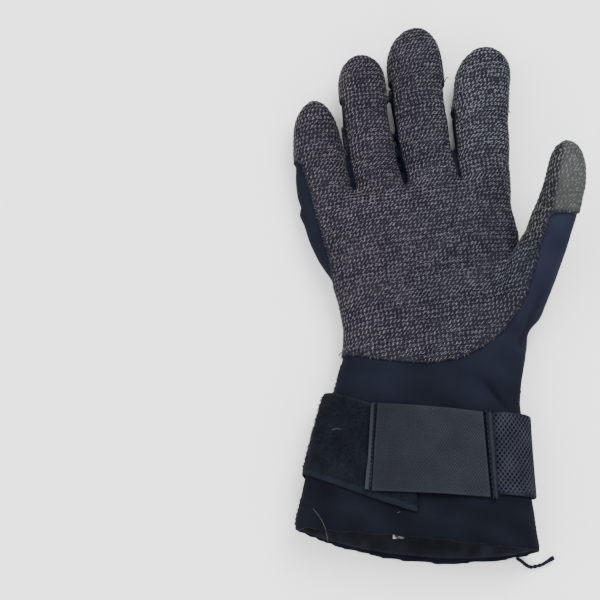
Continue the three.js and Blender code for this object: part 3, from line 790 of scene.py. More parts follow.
def reach_of_knit(points, normals, triangles):
    """Distance from each point of the shell to the knit's border: above 0 under the knit."""
    tree = tree_of("palm_knit")
    near = np.full((len(points), 3), np.nan)
    below = np.zeros(len(points), dtype=bool)
    outer = outer_points(points, triangles)
    for index in np.nonzero(outer & (points[:, 1] > KNIT_START_Y))[0].tolist():
        point, normal = Vector(points[index]), Vector(normals[index])
        found = tree.find_nearest(point, 2.8)[0]
        if found is not None:
            near[index] = found
        below[index] = tree.ray_cast(point + normal * 3, -normal, 5.5)[0] is not None
    away = near - points
    rise = np.einsum("ij,ij->i", away, normals)
    aside = np.linalg.norm(away - rise[:, None] * normals, axis=1)
    found = ~np.isnan(rise)
    covered = (found & (aside < 0.12 + 0.3 * np.abs(rise))) | below
    border = near[found & ~covered & (aside < 1.8)]
    search = KDTree(len(border))
    for index, place in enumerate(border.tolist()):
        search.insert(Vector(place), index)
    search.balance()
    reach = np.where(found, -aside, -3.0)
    for index in np.nonzero(covered)[0].tolist():
        place = border[search.find(Vector(points[index]))[1]]
        gap = place - points[index]
        gap = gap - (gap @ normals[index]) * normals[index]
        reach[index] = max(0.05, np.linalg.norm(gap))
    edge = np.interp(points[:, 1], *zip(*BARE_STRIP[::-1]))
    past = np.maximum(0.92 * (points[:, 0] - edge), points[:, 1] - BARE_STRIP[0][0])
    strip = (points[:, 1] > BARE_STRIP[-1][0]) & (points[:, 0] < BARE_STRIP_RIGHT)
    reach = np.where(strip, np.minimum(reach, past), reach)
    return soften(np.where(outer, reach, -3.0), triangles, 2)


class RubberOperator(bpy.types.Operator):
    """The neoprene hand, its fingers and thumb as one soft shell, creased, with its faces jersey."""

    bl_idname = "glove.rubber"
    bl_label = "Rubber shell"

    def execute(self, context):
        sizes, colours = context.scene.glove_sizes, context.scene.glove_colours
        hand = tree_of("glove_body")
        parts = []
        for node in RUBBER_NODES:
            copy = copy_of(node, "shell_part")
            points, triangles = mesh_arrays(copy.data)
            bpy.data.objects.remove(copy)
            if node != "glove_body":
                for index, point in enumerate(points.tolist()):
                    near = hand.find_nearest(Vector(point), FINGER_GAP)[0]
                    if near is not None:
                        points[index] += FINGER_OVERLAP * (np.array(near) - points[index])
            parts.append((points, [triangles], np.zeros(len(points))))
        points, faces, _ = joined(parts)
        shell = new_object("rubber_shell", points, faces)
        apply_modifier(shell, "grain", "REMESH", mode="VOXEL", voxel_size=sizes.voxel / 1000)
        points, triangles = mesh_arrays(shell.data)
        group = shell.vertex_groups.new(name="soft")
        weights = np.round(0.7 + 0.3 * ease(RIM_Y, RIM_Y + 14, points[:, 1]), 1)
        for weight in np.unique(weights):
            group.add(np.nonzero(weights == weight)[0].tolist(), float(weight), "REPLACE")
        apply_modifier(shell, "soft", "SMOOTH", factor=0.5, iterations=sizes.softness,
                       vertex_group="soft")
        shell.vertex_groups.clear()
        before = points
        points, triangles = mesh_arrays(shell.data)
        normals = normals_of(points, triangles)
        lost = soften(np.einsum("ij,ij->i", before - points, normals), triangles, 30)
        height = crease_height(points, normals) + swell_height(points)
        inland = ease(RIM_Y, RIM_Y + 20, points[:, 1])
        height += 0.1 + 0.25 * inland * ripple(points, 14, 3) * ease(0.0, 0.4, normals[:, 2])
        points = points + normals * (height + lost)[:, None]
        points[:, 2] = np.maximum(points[:, 2], 0.0)
        set_points(shell.data, points)
        normals = normals_of(points, triangles)
        # Tone: a painted highlight on the thumb side of the hand, darker towards the cuff, and random
        # patches
        tone = 0.12 + 0.45 * ease(-10, 60, points[:, 0]) * ease(-80, 10, points[:, 1])
        tone += 0.25 * ease(-110, -20, points[:, 1]) + 0.07 * ripple(points, 9, 8)
        # Painted shade: the rubber is darker in the creases, where it sinks
        tone -= 0.25 * ease(0.3, 1.5, -height)
        set_tone(shell.data, np.clip(tone, 0, 1))
        shell.data.shade_smooth()
        material = cloth_material("rubber_jersey", colours.rubber_dark, colours.rubber_lit, 0.8,
                                  patches=0.1)
        finish_piece(shell, material, "rubber", *RUBBER_NODES)
        made["shell"] = (points, normals, triangles, reach_of_knit(points, normals, triangles))
        return {"FINISHED"}


def thumb_lit_side(points):
    """1 on the outer part of the thumb's knit, which faces the light and is painted paler there as painted
    light, and 0 elsewhere.
    """
    across = (points[:, 0] - 59.7) - 0.18 * (points[:, 1] - 32.4)
    return ease(-1.2, 1.2, across) * ease(28, 31, points[:, 1])


class KnitClothOperator(bpy.types.Operator):
    """The knit's dark ground: a closed cloth laid on the rubber, up to its border."""

    bl_idname = "glove.knit_cloth"
    bl_label = "Knit ground"

    def execute(self, context):
        sizes, colours = context.scene.glove_sizes, context.scene.glove_colours
        points, normals, triangles, reach = made["shell"]
        points, reach, normals, triangles = cut_at_zero(points, reach, normals, triangles)
        normals = unit(normals)
        height = CLOTH_EDGE + (sizes.cloth_rise - CLOTH_EDGE) * ease(0, 0.8, reach)
        top = points + normals * height[:, None]
        bottom = points + normals * CLOTH_UNDERSIDE
        count = len(points)
        rim = rim_edges(triangles, count)
        walls = np.stack([rim[:, 1], rim[:, 0], rim[:, 0] + count, rim[:, 1] + count], 1)
        faces = [np.concatenate([triangles, triangles[:, ::-1] + count]), walls]
        # The ground is painted pale on the thumb's lit side: painted light
        tone = 0.05 + 0.04 * ripple(points, 8, 5) + 0.9 * thumb_lit_side(points)
        tone = np.clip(np.concatenate([tone, tone]), 0, 1)
        cloth = new_object("knit_ground", np.concatenate([top, bottom]), faces, tone)
        material = cloth_material("knit_ground", colours.ground, colours.ground_thumb_lit, 0.9, patches=0.2)
        finish_piece(cloth, material, "knit", "palm_knit")
        made["cloth"] = (top, normals, triangles, reach)
        return {"FINISHED"}


def knit_part(centres):
    """The part of the knit that a row lies on: thumb, fingers or palm."""
    middle = centres.mean(axis=0)
    if middle[0] > THUMB_CORNER[0] and middle[1] > THUMB_CORNER[1]:
        return "thumb"
    return "fingers" if middle[1] > FINGERS_Y else "palm"


def row_yarns(line, span, closed, number, sizes):
    """The part of the knit that a row lies on, and the row's two uneven yarns."""
    line = blur(line, 6, closed)
    centres, up = line[:, :3], unit(line[:, 3:])
    ahead = unit(np.gradient(centres, axis=0))
    if (ahead[:, 0] * up[:, 2]).sum() < 0:
        centres, up, ahead = centres[::-1], up[::-1], -ahead[::-1]
    across = np.cross(up, ahead)
    along = np.linspace(0, span, len(centres))
    flat = up[:, 2] > 0.75
    column = centres[:, 0] + 0.1 * centres[:, 1]
    start = np.median((column - along)[flat]) if flat.any() else 0.0
    phase = 2 * math.pi * (along + start) / sizes.stitch_pitch
    if closed:
        turns = max(1, round(span / sizes.stitch_pitch))
        phase = 2 * math.pi * (along * turns / span + start / sizes.stitch_pitch)
    random = np.random.default_rng(number)
    beats = phase / math.pi
    marks = math.floor(beats.min()) + np.arange(int(beats.max() - beats.min()) + 3)

    def each(low, high):
        return np.interp(beats, marks, random.uniform(low, high, len(marks)))

    part = knit_part(centres)
    cap = thumb_lit_side(centres) if part == "thumb" else 0
    wear = 0.03 * ripple(centres, 14, 23)
    bright = 1 + 0.6 * ease(40, 90, centres[:, 1]) * ease(-15, 25, centres[:, 0])
    yarns = []
    for way in (-1, 1):
        turn = phase + each(-0.6, 0.6) + random.uniform(-2, 2)
        high = 0.4 * np.cos(turn) + 0.1 * np.cos(2 * turn) + each(-0.6, 0.5)
        # Painted shade where the yarn dips and a painted highlight where it is highest, with its own
        # random tone
        tone = (0.05 + 0.7 * ease(-0.45, 0.8, high) + wear) * each(0.7, 1.2) * bright
        # Painted light: the yarn is lighter on the thumb's lit side
        tone = tone * (1 - 0.1 * cap) + 0.13 * cap
        high = high * (1 - 0.5 * cap) + 0.15 * cap
        aside = way * sizes.yarn_gap + sizes.swing * each(0.4, 1.3) * np.sin(turn)
        places = centres + across * aside[:, None] + up * (0.02 + 0.36 * high)[:, None]
        thick = sizes.yarn * each(0.8, 1.2)
        yarns.append(sweep(places, up, thick, thick, 3, closed, np.clip(tone, 0, 1)))
    return part, yarns


class KnitYarnOperator(bpy.types.Operator):
    """The knit's pale yarn: swinging rows that rise and dip through the ground."""

    bl_idname = "glove.knit_yarn"
    bl_label = "Knit yarn"

    def execute(self, context):
        sizes, colours = context.scene.glove_sizes, context.scene.glove_colours
        points, normals, triangles, reach = made["cloth"]
        points, _, normals, triangles = cut_at_zero(points, reach - YARN_MARGIN, normals, triangles)
        rows = points[:, 1] - ROW_SLOPE * points[:, 0] + 0.35 * ripple(points, 22, 4)
        step = 0.36
        groups = {"palm": [], "fingers": [], "thumb": []}
        table = np.hstack([points, unit(normals)])
        for number, (line, closed) in enumerate(level_lines(rows, triangles, table, sizes.row_pitch)):
            line, span = resampled(line, closed, step)
            if span < SHORTEST_ROW:
                continue
            part, yarns = row_yarns(line, span, closed, number, sizes)
            groups[part] += yarns
        knit = cloth_material("knit_yarn", colours.yarn_dark, colours.yarn_light, 0.85, patches=0.08,
                              cool=colours.yarn_cool)
        thumb = cloth_material("thumb_yarn", colours.yarn_dark, colours.thumb_light, 0.85, patches=0.15)
        for name, parts in groups.items():
            yarn = new_object("knit_yarn_" + name, *joined(parts))
            finish_piece(yarn, thumb if name == "thumb" else knit, "knit")
        return {"FINISHED"}


class HemOperator(bpy.types.Operator):
    """The knit's rolled edge with its overcast loops."""

    bl_idname = "glove.hem"
    bl_label = "Knit hem"

    def execute(self, context):
        sizes, colours = context.scene.glove_sizes, context.scene.glove_colours
        points, normals, triangles, reach = made["shell"]
        close = (reach[triangles] > -2.5).all(axis=1)
        table = np.hstack([points, normals])
        middle = sizes.hem / 2
        parts, loops = [], []
        centres = np.array([[0, -1, -0.5], [0, -0.9, 0.15], [0, -0.5, 0.55], [0, 0, 0.7],
                            [0, 0.5, 0.55], [0, 0.9, 0.15], [0, 1, -0.5]])
        arch = sweep(centres, np.tile([1.0, 0, 0], (len(centres), 1)), 0.12, 0.13, 4)
        # A step as large as this leaves one level line, which runs half a hem inside the border
        step = 1000
        for line, closed in level_lines(reach + step - middle, triangles[close], table, step):
            line, span = resampled(line, closed, 0.7)
            if span < SHORTEST_HEM:
                continue
            line = blur(line, 8, closed)
            up = unit(line[:, 3:])
            centres = line[:, :3] + up * 0.4
            bulge = 1 + 0.12 * ripple(centres, 3, 31)
            tone = np.clip(0.35 + 0.2 * ripple(centres, 5, 32), 0, 1)
            parts.append(sweep(centres, up, middle * bulge, 0.8 * bulge, 8, closed, tone))
            stitch, _ = resampled(np.hstack([centres, up]), closed, 1.9)
            place, rise = stitch[:, :3], unit(stitch[:, 3:])
            ahead = unit(np.gradient(place, axis=0))
            side = unit(np.cross(rise, ahead))
            random = np.random.default_rng(len(loops))
            lean = random.uniform(-0.5, 1.4, len(place))[:, None] * ahead + side
            size = random.uniform(0.6, 1.15, len(place))[:, None]
            loops.append(copies(arch, place + side * random.uniform(-0.3, 0.5, (len(place), 1)),
                                ahead * 2, lean * size, rise * (1 + 0.3 * size),
                                random.uniform(0.0, 0.8, len(place))))
        hem = new_object("knit_hem", *joined(parts))
        material = cloth_material("knit_hem", colours.yarn_dark, colours.rubber_lit, 0.9, patches=0.3)
        finish_piece(hem, material, "knit")
        overcast = new_object("hem_loops", *joined(loops))
        pale = tuple(0.45 * value for value in colours.yarn_light)
        finish_piece(overcast, cloth_material("hem_thread", colours.ground, pale, 0.85), "knit")
        return {"FINISHED"}


def stadium_rays(side):
    """Rays round one side of the cuff, from the palm side to the back: x, z, their way and reach."""
    spine = SPINE_RIGHT if side > 0 else SPINE_LEFT
    start = PALM_END_RIGHT if side > 0 else PALM_END_LEFT
    rays = []
    for x in np.arange(start, spine, side * 0.5):
        rays.append((x, RAY_ABOVE, 0.0, -1.0, RAY_ABOVE - SPINE_HEIGHT))
    for angle in np.arange(90, -90.1, -2.2):
        c, s = math.cos(math.radians(angle)) * side, math.sin(math.radians(angle))
        rays.append((spine + RAY_AWAY * c, SPINE_HEIGHT + RAY_AWAY * s, -c, -s, RAY_AWAY - 1))
    for x in np.arange(spine, BACK_END, -side * 0.5):
        rays.append((x, RAY_BELOW, 0.0, 1.0, SPINE_HEIGHT - RAY_BELOW - 3))
    return rays


def ray_hit(tree, ray, y):
    """Where a ray across the cuff meets a piece at y, or None."""
    x, z, dx, dz, reach = ray
    return tree.ray_cast(Vector((x, y, z)), Vector((dx, 0, dz)), reach)[0]


def band_limits(tree, ray, low_y, high_y, search=1.5):
    """The lowest and highest y where a ray meets a band, or None where it hardly meets it."""
    places = [y for y in np.arange(low_y + 0.5, high_y, search) if ray_hit(tree, ray, y) is not None]
    if len(places) < 8:
        return None
    limits = []
    for inside, outside in ((places[0], places[0] - search), (places[-1], places[-1] + search)):
        for _ in range(7):
            half = (inside + outside) / 2
            met = ray_hit(tree, ray, half) is not None
            inside, outside = (half, outside) if met else (inside, half)
        limits.append(inside)
    return limits


def band_grid(node, side, step):
    """A band's outer face as a grid: rows round the cuff, columns across the band."""
    tree = tree_of(node)
    low_y, high_y = (corner[1] * 1000 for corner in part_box(node))
    found = [(ray, band_limits(tree, ray, low_y, high_y)) for ray in stadium_rays(side)]
    found = [(ray, limits) for ray, limits in found if limits]
    width = np.median([limits[1] - limits[0] for _, limits in found])
    kept = [(ray, limits) for ray, limits in found if limits[1] - limits[0] > 0.9 * width]
    columns = max(8, int(width / step))
    grid = np.full((len(kept), columns, 3), np.nan)
    for i, (ray, (first, last)) in enumerate(kept):
        for j, y in enumerate(np.linspace(first + 0.05, last - 0.05, columns)):
            place = ray_hit(tree, ray, y)
            grid[i, j] = place if place is not None else grid[i, j - 1]
    spans = np.linalg.norm(np.diff(grid, axis=0), axis=2).mean(axis=1)
    along = np.concatenate([[0], np.cumsum(spans)])
    places = np.linspace(0, along[-1], int(along[-1] / step))
    even = np.empty((len(places), columns, 3))
    for j in range(columns):
        for k in range(3):
            even[:, j, k] = np.interp(places, along, grid[:, j, k])
    rounds = int((2.2 / step) ** 2 * 2)
    for _ in range(rounds):
        even[1:-1] = 0.5 * even[1:-1] + 0.25 * (even[:-2] + even[2:])
    return even


def grid_normals(grid, outward):
    """Normals of a grid that point to the side of outward."""
    along = np.gradient(grid, axis=0)
    across = np.gradient(grid, axis=1)
    normals = unit(np.cross(along, across))
    flip = np.sign((normals * outward).sum(axis=2, keepdims=True).mean())
    return normals * flip, flip


def grid_spans(grid):
    """Distances along and across a grid from its first row and column, in mm."""
    along = np.linalg.norm(np.diff(grid, axis=0), axis=2).mean(axis=1)
    across = np.linalg.norm(np.diff(grid, axis=1), axis=2).mean(axis=0)
    u = np.concatenate([[0], np.cumsum(along)])
    v = np.concatenate([[0], np.cumsum(across)])
    return u[:, None] + 0 * v[None], v[None] + 0 * u[:, None]


def away_from_cuff(grid):
    """How far each point of a grid lies from the cuff's middle line, across it."""
    away = grid - np.array(CUFF_MIDDLE)
    away[..., 1] = 0
    return away


def edge_distance(u, v):
    """Distance from each point of a grid to its nearest edge, in mm."""
    return np.minimum(np.minimum(v, v.max() - v), np.minimum(u, u.max() - u))


def rounded_band(name, grid, outward, thick, relief, tone):
    """A band of cloth from its outer face, with round edges and a relief on that face."""
    normals, flip = grid_normals(grid, outward)
    edge = edge_distance(*grid_spans(grid))
    radius = thick / 2
    inset = radius - np.sqrt(np.clip(radius ** 2 - (radius - np.clip(edge, 0, radius)) ** 2, 0, None))
    top = grid + normals * (relief * ease(0.2, 1.2, edge) - inset)[..., None]
    bottom = grid + normals * (inset - thick)[..., None]
    if flip > 0:
        return slab(name, top, bottom, tone), normals
    return slab(name, top[:, ::-1], bottom[:, ::-1], tone[:, ::-1]), normals


def tuft_shape():
    """A short leaning blade of pile, 1 high."""
    centres = np.array([[0, 0, -0.2], [0.1, 0, 0.5], [0.35, 0, 1.0]])
    thick = np.array([0.5, 0.4, 0.12])
    return sweep(centres, np.tile([0, 1.0, 0], (3, 1)), thick, thick, 3)


def pile_on(points, normals, seed, tall, wide):
    """Tufts of pile on points, each leaning its own way."""
    random = np.random.default_rng(seed)
    turn = unit(np.cross(normals, random.normal(size=normals.shape)))
    beside = np.cross(normals, turn)
    size = random.uniform(0.6, 1.2, len(points))[:, None]
    tone = np.clip(0.35 + 0.25 * random.normal(size=len(points)), 0, 1)
    along, across, up = turn * size * tall, beside * size * wide, normals * size * tall
    return copies(tuft_shape(), points, along, across, up, tone)


class LoopBandOperator(bpy.types.Operator):
    """The strap's band of brushed loop tape, round the little-finger edge of the cuff."""

    bl_idname = "glove.loop_band"
    bl_label = "Loop band"

    def execute(self, context):
        sizes, colours = context.scene.glove_sizes, context.scene.glove_colours
        grid = band_grid("loop_band", -1, LOOP_STEP)
        u, v = grid_spans(grid)
        edge = np.minimum(v, v.max() - v)
        brushed = ease(2.2, 3.2, edge)
        flat = grid.reshape(-1, 3)
        relief = brushed * (0.2 + 0.12 * ripple(flat, 2.5, 41).reshape(u.shape))
        tone = np.clip(0.25 + 0.15 * ripple(flat, 4, 42).reshape(u.shape) + 0.7 * (1 - brushed), 0, 1)
        outward = away_from_cuff(grid)
        band, normals = rounded_band("loop_band_cloth", grid, outward, sizes.strap, relief, tone)
        material = cloth_material("loop_tape", colours.loop, colours.loop_edge, 0.95, sheen=0.02,
                                  patches=0.25)
        finish_piece(band, material, "loop", "loop_band")
        random = np.random.default_rng(43)
        chosen = random.choice(np.nonzero(brushed.ravel() > 0.6)[0], sizes.tufts)
        rise = normals.reshape(-1, 3)[chosen]
        places = flat[chosen] + rise * 0.25 + random.normal(0, 0.25, (len(chosen), 3))
        pile = new_object("loop_pile", *pile_on(places, rise, 44, tall=0.55, wide=0.3))
        finish_piece(pile, material, "loop")
        return {"FINISHED"}


class ElasticOperator(bpy.types.Operator):
    """The strap's woven elastic with its crossing ridges, round the thumb edge of the cuff."""

    bl_idname = "glove.elastic"
    bl_label = "Elastic"

    def execute(self, context):
        sizes, colours = context.scene.glove_sizes, context.scene.glove_colours
        grid = band_grid("elastic_strap", 1, ELASTIC_STEP)
        lead = (grid[0] - grid[1])[None] * np.arange(LEAD_ROWS, 0, -1)[:, None, None]
        grid = np.concatenate([grid[:1] + lead, grid])
        u, v = grid_spans(grid)
        edge = np.minimum(v, v.max() - v)
        pitch = sizes.diamond
        first = np.cos(2 * math.pi * (u + v * DIAMOND_SLOPE) / pitch)
        second = np.cos(2 * math.pi * (u - v * DIAMOND_SLOPE) / pitch)
        ridge = np.clip(np.maximum(first, second), -0.3, 1)
        woven = ease(1.0, 1.6, edge)
        relief = woven * 0.22 * ridge + (1 - woven) * 0.12 * (1 + np.cos(2 * math.pi * u / pitch))
        flat = grid.reshape(-1, 3)
        # Painted shade: the elastic is darker in its hollows, away from the ridges
        tone = woven * ease(0.35, 1.0, ridge) + (1 - woven) * 0.4
        tone = np.clip(tone + 0.12 * ripple(flat, 6, 51).reshape(u.shape), 0, 1)
        outward = away_from_cuff(grid)
        band, _ = rounded_band("elastic_band_cloth", grid, outward, sizes.strap, relief, tone)
        material = cloth_material("elastic_weave", colours.elastic_dark, colours.elastic_light, 0.8)
        finish_piece(band, material, "elastic", "elastic_strap")
        return {"FINISHED"}


def between(corners, s, t):
    """The point s of the way along X and t along Y: corners are in the order of TAPE_CORNERS."""
    lower_left, upper_left, lower_right, upper_right = corners
    lower = lower_left * (1 - s) + lower_right * s
    upper = upper_left * (1 - s) + upper_right * s
    return lower * (1 - t) + upper * t


def flat_grid(node, step):
    """A flat piece's upper face as a grid: rows along X, columns along Y.

    Its height is the node's, found at the node's own corners, and its outline is TAPE_CORNERS'.
    """
    points, triangles = mesh_arrays(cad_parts[node].data)
    tree = BVHTree.FromPolygons(points.tolist(), triangles.tolist())
    low, high = points.min(axis=0), points.max(axis=0)
    share = (points - low) / (high - low)
    corners = []
    for x_way, y_way in ((-1, -1), (-1, 1), (1, -1), (1, 1)):
        corners.append(points[np.argmax(x_way * share[:, 0] + y_way * share[:, 1])])
    wide = np.linalg.norm(corners[2] - corners[0])
    long = np.linalg.norm(corners[1] - corners[0])
    rows, columns = max(6, int(wide / step)), max(6, int(long / step))
    outline = [np.array(corner) for corner in TAPE_CORNERS[node]]
    grid = np.empty((rows, columns, 3))
    for i, s in enumerate(np.linspace(0.004, 0.996, rows)):
        for j, t in enumerate(np.linspace(0.004, 0.996, columns)):
            x, y, _ = between(corners, s, t)
            hit = tree.ray_cast(Vector((x, y, RAY_ABOVE)), Vector((0, 0, -1)))[0]
            grid[i, j, :2] = between(outline, s, t)
            grid[i, j, 2] = np.nan if hit is None else hit[2]
    height = grid[..., 2]
    height[np.isnan(height)] = np.nanmean(height)
    for _ in range(int((2.0 / step) ** 2)):
        height[1:-1] = 0.5 * height[1:-1] + 0.25 * (height[:-2] + height[2:])
        height[:, 1:-1] = 0.5 * height[:, 1:-1] + 0.25 * (height[:, :-2] + height[:, 2:])
    return grid


def hook_shape():
    """One small hook, bent over towards X."""
    centres = np.array([[0, 0, -0.1], [0, 0, 0.5], [0.12, 0, 0.8], [0.38, 0, 0.85], [0.5, 0, 0.6]])
    return sweep(centres, np.tile([0, 1.0, 0], (len(centres), 1)), 0.1, 0.1, 4)


def small_hooks(grid, normals):
    """Small hooks on the crossings of the tape's weave, each turned to one side or the other."""
    u, v = grid_spans(grid)
    along, across = HOOK_PITCH
    random = np.random.default_rng(61)
    row, column = np.meshgrid(np.arange(2, int(u.max() / along) - 1),
                              np.arange(2, int(v.max() / across) - 1))
    even = (row + column) % 2 == 0
    i = np.round(row[even] * along / u.max() * (len(grid) - 1)).astype(int)
    j = np.round(column[even] * across / v.max() * (grid.shape[1] - 1)).astype(int)
    facing = normals[i, j]
    angle = random.choice([0.25, math.pi + 0.25], len(i)) + random.normal(0, 0.2, len(i))
    turn = np.stack([np.cos(angle), np.sin(angle), 0 * angle], 1)
    turn = unit(np.cross(np.cross(facing, turn), facing))
    beside = np.cross(facing, turn)
    tone = np.clip(0.35 + 0.12 * random.normal(size=len(i)), 0, 1)
    return copies(hook_shape(), grid[i, j], turn * 0.7, beside * 0.7, facing * 0.35, tone)


class HookTapeOperator(bpy.types.Operator):
    """The stiff hook tape pressed on the strap, with rows of small hooks, and its folded end."""

    bl_idname = "glove.hook_tape"
    bl_label = "Hook tape"

    def execute(self, context):
        colours = context.scene.glove_colours
        material = cloth_material("hook_tape", colours.hook_dark, colours.hook_light, 0.6, patches=0.1)
        up = np.array([0, 0, 1.0])
        grid = flat_grid("hook_patch", TAPE_STEP)
        u, v = grid_spans(grid)
        edge = edge_distance(u, v)
        weave = np.cos(2 * math.pi * u / WEAVE_PITCH[0]) * np.cos(2 * math.pi * v / WEAVE_PITCH[1])
        relief = 0.13 * weave + 0.05 * ease(1.1, 0.7, edge)
        side = ease(0, u.max(), u)
        tone = 0.24 + 0.12 * side + (0.16 + 0.16 * side) * weave + 0.12 * ease(1.1, 0.6, edge)
        tone = np.clip(tone + 0.03 * ripple(grid.reshape(-1, 3), 14, 62).reshape(u.shape), 0, 1)
        patch, normals = rounded_band("hook_tape_cloth", grid, up, TAPE_THICKNESS, relief, tone)
        finish_piece(patch, material, "hook", "hook_patch")
        finish_piece(new_object("hook_rows", *small_hooks(grid, normals)), material, "hook")
        grid = flat_grid("hook_end_fold", FOLD_STEP)
        u, v = grid_spans(grid)
        groove = np.exp(-((u - 0.72 * u.max()) / 0.7) ** 2)
        stitch = groove * ease(0.2, 0.9, np.cos(2 * math.pi * v / 2.3))
        ribs = np.cos(2 * math.pi * v / 1.3)
        taper = ease(0, v.max(), v)
        # Painted shade in the groove, which also sinks
        tone = np.clip(0.7 - 0.25 * taper - 0.7 * groove + 0.4 * stitch + 0.06 * ribs, 0, 1)
        relief = 0.05 * ribs - 0.5 * groove + 0.35 * stitch
        fold, _ = rounded_band("hook_fold_cloth", grid, up, TAPE_THICKNESS, relief, tone)
        finish_piece(fold, material, "hook", "hook_end_fold")
        return {"FINISHED"}


class SeamOperator(bpy.types.Operator):
    """The strap's sewn seam between the hook tape and the elastic, with two rows of stitches."""

    bl_idname = "glove.strap_seam"
    bl_label = "Strap seam"

    def execute(self, context):
        colours = context.scene.glove_colours
        up = np.array([0, 0, 1.0])
        grid = flat_grid("strap_seam", FOLD_STEP)
        u, v = grid_spans(grid)
        valley = np.exp(-((u - 1.3) / 0.8) ** 2)
        ridge = np.exp(-((u - 0.68 * u.max()) / 0.7) ** 2)
        ribs = 0.05 * np.cos(2 * math.pi * v / 1.2)
        relief = 0.25 * ridge - 0.35 * valley + ribs
        # A painted highlight on the ridge and painted shade in the valley
        tone = np.clip(0.16 + 0.3 * ridge - 0.2 * valley + ribs, 0, 1)
        seam, _ = rounded_band("strap_seam_cloth", grid, up, SEAM_THICKNESS, relief, tone)
        material = cloth_material("seam_tape", colours.elastic_dark, colours.hook_light, 0.75)
        finish_piece(seam, material, "elastic", "strap_seam")
        arch = stitch_shape(0.9, 0.6, 0.2, -0.4, wide=0.16, high=0.14, sides=5)
        parts = []
        for share in SEAM_ROWS:
            line, _ = resampled(grid[int(share * len(grid))], False, STITCH_STEP)
            ahead = unit(np.gradient(line, axis=0))
            rise = rising(len(line))
            pale = np.full(len(line), 0.8)
            parts.append(copies(arch, line + up * 0.1, ahead, np.cross(rise, ahead), rise, pale))
        stitches = new_object("seam_stitches", *joined(parts))
        thread = cloth_material("sewing_thread", colours.ground, colours.elastic_light, 0.7)
        finish_piece(stitches, thread, "elastic")
        return {"FINISHED"}


class LiningOperator(bpy.types.Operator):
    """The plush sleeve inside the cuff, and the label sewn on it."""

    bl_idname = "glove.lining"
    bl_label = "Lining and label"

    def execute(self, context):
        colours = context.scene.glove_colours
        lining = copy_of("cuff_lining", "cuff_plush")
        only(lining)
        bpy.ops.object.mode_set(mode="EDIT")
        bpy.ops.mesh.select_all(action="SELECT")
        bpy.ops.mesh.subdivide(number_cuts=3, smoothness=0)
        bpy.ops.object.mode_set(mode="OBJECT")
        apply_modifier(lining, "soft", "SMOOTH", factor=0.5, iterations=4)
        points, triangles = mesh_arrays(lining.data)
        normals = normals_of(points, triangles)
        points = points + normals * (0.12 * ripple(points, 2.5, 71))[:, None]
        set_points(lining.data, points)
        set_tone(lining.data, np.clip(0.4 + 0.2 * ripple(points, 4, 72), 0, 1))
        lining.data.shade_smooth()
        light = tuple(2.0 * value for value in colours.lining)
        material = cloth_material("plush", colours.lining, light, 0.95, patches=0.3)
        finish_piece(lining, material, "lining", "cuff_lining")
        label = copy_of("size_label", "label_strip")
        only(label)
        apply_modifier(label, "edge", "BEVEL", width=0.0001, segments=2)
        apply_modifier(label, "faces", "SUBSURF", levels=2, render_levels=2, subdivision_type="SIMPLE")
        points, _ = mesh_arrays(label.data)
        # The pale label is painted mostly dark, a painted shade inside the cuff, with random pale specks
        set_tone(label.data, ease(0.0, 0.7, ripple(points, 1.1, 73)))
        shade = tuple(0.05 * value for value in colours.label)
        satin = cloth_material("satin", shade, colours.label, 0.45, weave=900)
        finish_piece(label, satin, "label", "size_label")
        return {"FINISHED"}


def whip_stitches(shell):
    """Slanted stitches along both side seams, where the strap doesn't cover them."""
    strap = [tree_of("loop_band"), tree_of("elastic_strap")]
    bar = stitch_shape(1.1, 0.7, 0.22, -0.35, wide=0.3, high=0.26, sides=6)
    slant = unit(np.array([0.0, 1.0, 0.7]))
    stitches = []
    for way, low, high in WHIPPED_SEAMS:
        for y in np.arange(low, high, STITCH_STEP):
            start, course = Vector((-way * 150, y, 13)), Vector((way, 0, 0))
            if any(tree.ray_cast(start, course)[0] is not None for tree in strap):
                continue
            place, normal, _, _ = shell.ray_cast(start, course)
            if place is None:
                continue
            rise = np.array(normal)
            side = unit(np.cross(rise, slant))
            ahead = np.cross(side, rise)
            axes = (ahead[None], side[None], rise[None])
            stitches.append(copies(bar, np.array([place]), *axes, np.array([0.3])))
    return stitches


def loose_thread():
    """The loose thread at the cuff's corner: two plies twisted round each other, frayed at the end."""
    line = curve_through(THREAD_TAIL, 90)
    up = rising(len(line))
    side = np.cross(unit(np.gradient(line, axis=0)), up)
    turn = np.linspace(0, 2 * math.pi * PLY_TURNS, len(line))
    index = np.arange(len(line))
    thick = 0.55 * ease(-4, 6, index) + 0.3 * ease(70, 86, index)
    plies = []
    for start in (0, math.pi):
        ply = line + side * (0.5 * np.cos(turn + start))[:, None]
        ply = ply + up * (0.5 * np.sin(turn + start))[:, None]
        plies.append(sweep(ply + up * 0.3, up, thick, thick, 8, tone=np.full(len(line), 0.4)))
    return plies


def frayed_ends():
    """The dark frayed ends of thread on the knit."""
    ends = []
    for places in FRAYS:
        line = curve_through(places, 20)
        ends.append(sweep(line, rising(20), 0.3, 0.3, 6, tone=np.full(20, 0.3)))
    return ends


def stray_fibres(shell):
    """Pale fibres that lie on the rubber or on the strap."""
    band = tree_of("loop_band")
    fibres = []
    for places in FIBRES:
        raised = []
        for x, y in places:
            down = (Vector((x, y, RAY_ABOVE)), Vector((0, 0, -1)))
            hits = [tree.ray_cast(*down)[0] for tree in (shell, band)]
            height = max([hit[2] for hit in hits if hit is not None] + [1.0])
            raised.append((x, y, height + 0.5))
        line = curve_through(raised, 24)
        fibres.append(sweep(line, rising(len(line)), 0.055, 0.055, 5))
    return fibres


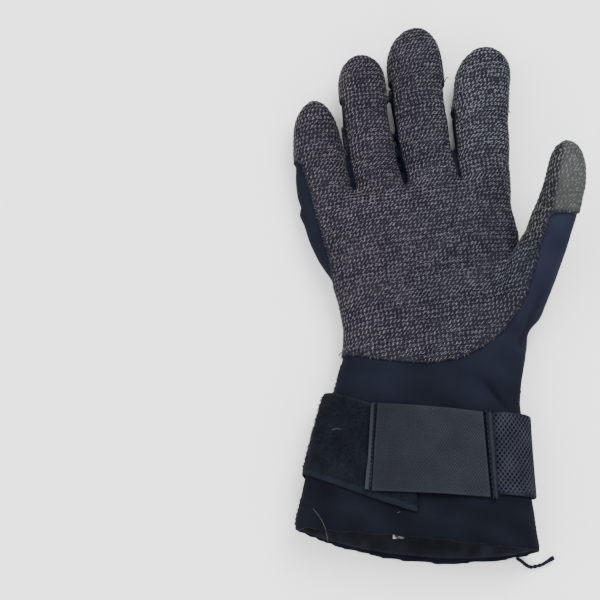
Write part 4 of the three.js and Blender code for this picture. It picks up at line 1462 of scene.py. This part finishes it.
class ThreadsOperator(bpy.types.Operator):
    """The whip stitches of the side seams, the loose thread at the cuff and stray fibres."""

    bl_idname = "glove.threads"
    bl_label = "Threads"

    def execute(self, context):
        colours = context.scene.glove_colours
        points, _, triangles, _ = made["shell"]
        shell = BVHTree.FromPolygons(points.tolist(), triangles.tolist())
        parts = whip_stitches(shell) + loose_thread() + frayed_ends()
        threads = new_object("seam_threads", *joined(parts))
        black = cloth_material("black_thread", colours.thread, colours.rubber_lit, 0.8)
        finish_piece(threads, black, "rubber")
        fibres = new_object("stray_fibres", *joined(stray_fibres(shell)))
        pale = cloth_material("pale_fibre", colours.lint, colours.lint, 0.7)
        finish_piece(fibres, pale, "lining")
        return {"FINISHED"}


class GlovePanel(bpy.types.Panel):
    """Lists the glove's pieces and settings in the sidebar."""

    bl_idname = "VIEW3D_PT_glove"
    bl_label = "Diving glove"
    bl_space_type = "VIEW_3D"
    bl_region_type = "UI"
    bl_category = "Glove"

    def draw(self, context):
        for operator in OPERATORS:
            self.layout.operator(operator.bl_idname)
        for group in (context.scene.glove_sizes, context.scene.glove_colours):
            for name in group.__annotations__:
                self.layout.prop(group, name)


OPERATORS = (
    StageOperator,
    RubberOperator,
    KnitClothOperator,
    KnitYarnOperator,
    HemOperator,
    LoopBandOperator,
    ElasticOperator,
    HookTapeOperator,
    SeamOperator,
    LiningOperator,
    ThreadsOperator,
)


def register():
    """Adds the classes and the scene's settings."""
    for kind in (GloveSizes, GloveColours, *OPERATORS, GlovePanel):
        bpy.utils.register_class(kind)
    bpy.types.Scene.glove_sizes = PointerProperty(type=GloveSizes)
    bpy.types.Scene.glove_colours = PointerProperty(type=GloveColours)


def unregister():
    """Takes the settings and the classes away again."""
    del bpy.types.Scene.glove_colours
    del bpy.types.Scene.glove_sizes
    for kind in reversed((GloveSizes, GloveColours, *OPERATORS, GlovePanel)):
        bpy.utils.unregister_class(kind)


def main():
    """Makes every piece in order."""
    register()
    bpy.ops.glove.stage()
    bpy.ops.glove.rubber()
    bpy.ops.glove.knit_cloth()
    bpy.ops.glove.knit_yarn()
    bpy.ops.glove.hem()
    bpy.ops.glove.loop_band()
    bpy.ops.glove.elastic()
    bpy.ops.glove.hook_tape()
    bpy.ops.glove.strap_seam()
    bpy.ops.glove.lining()
    bpy.ops.glove.threads()


if __name__ == "__main__":
    main()
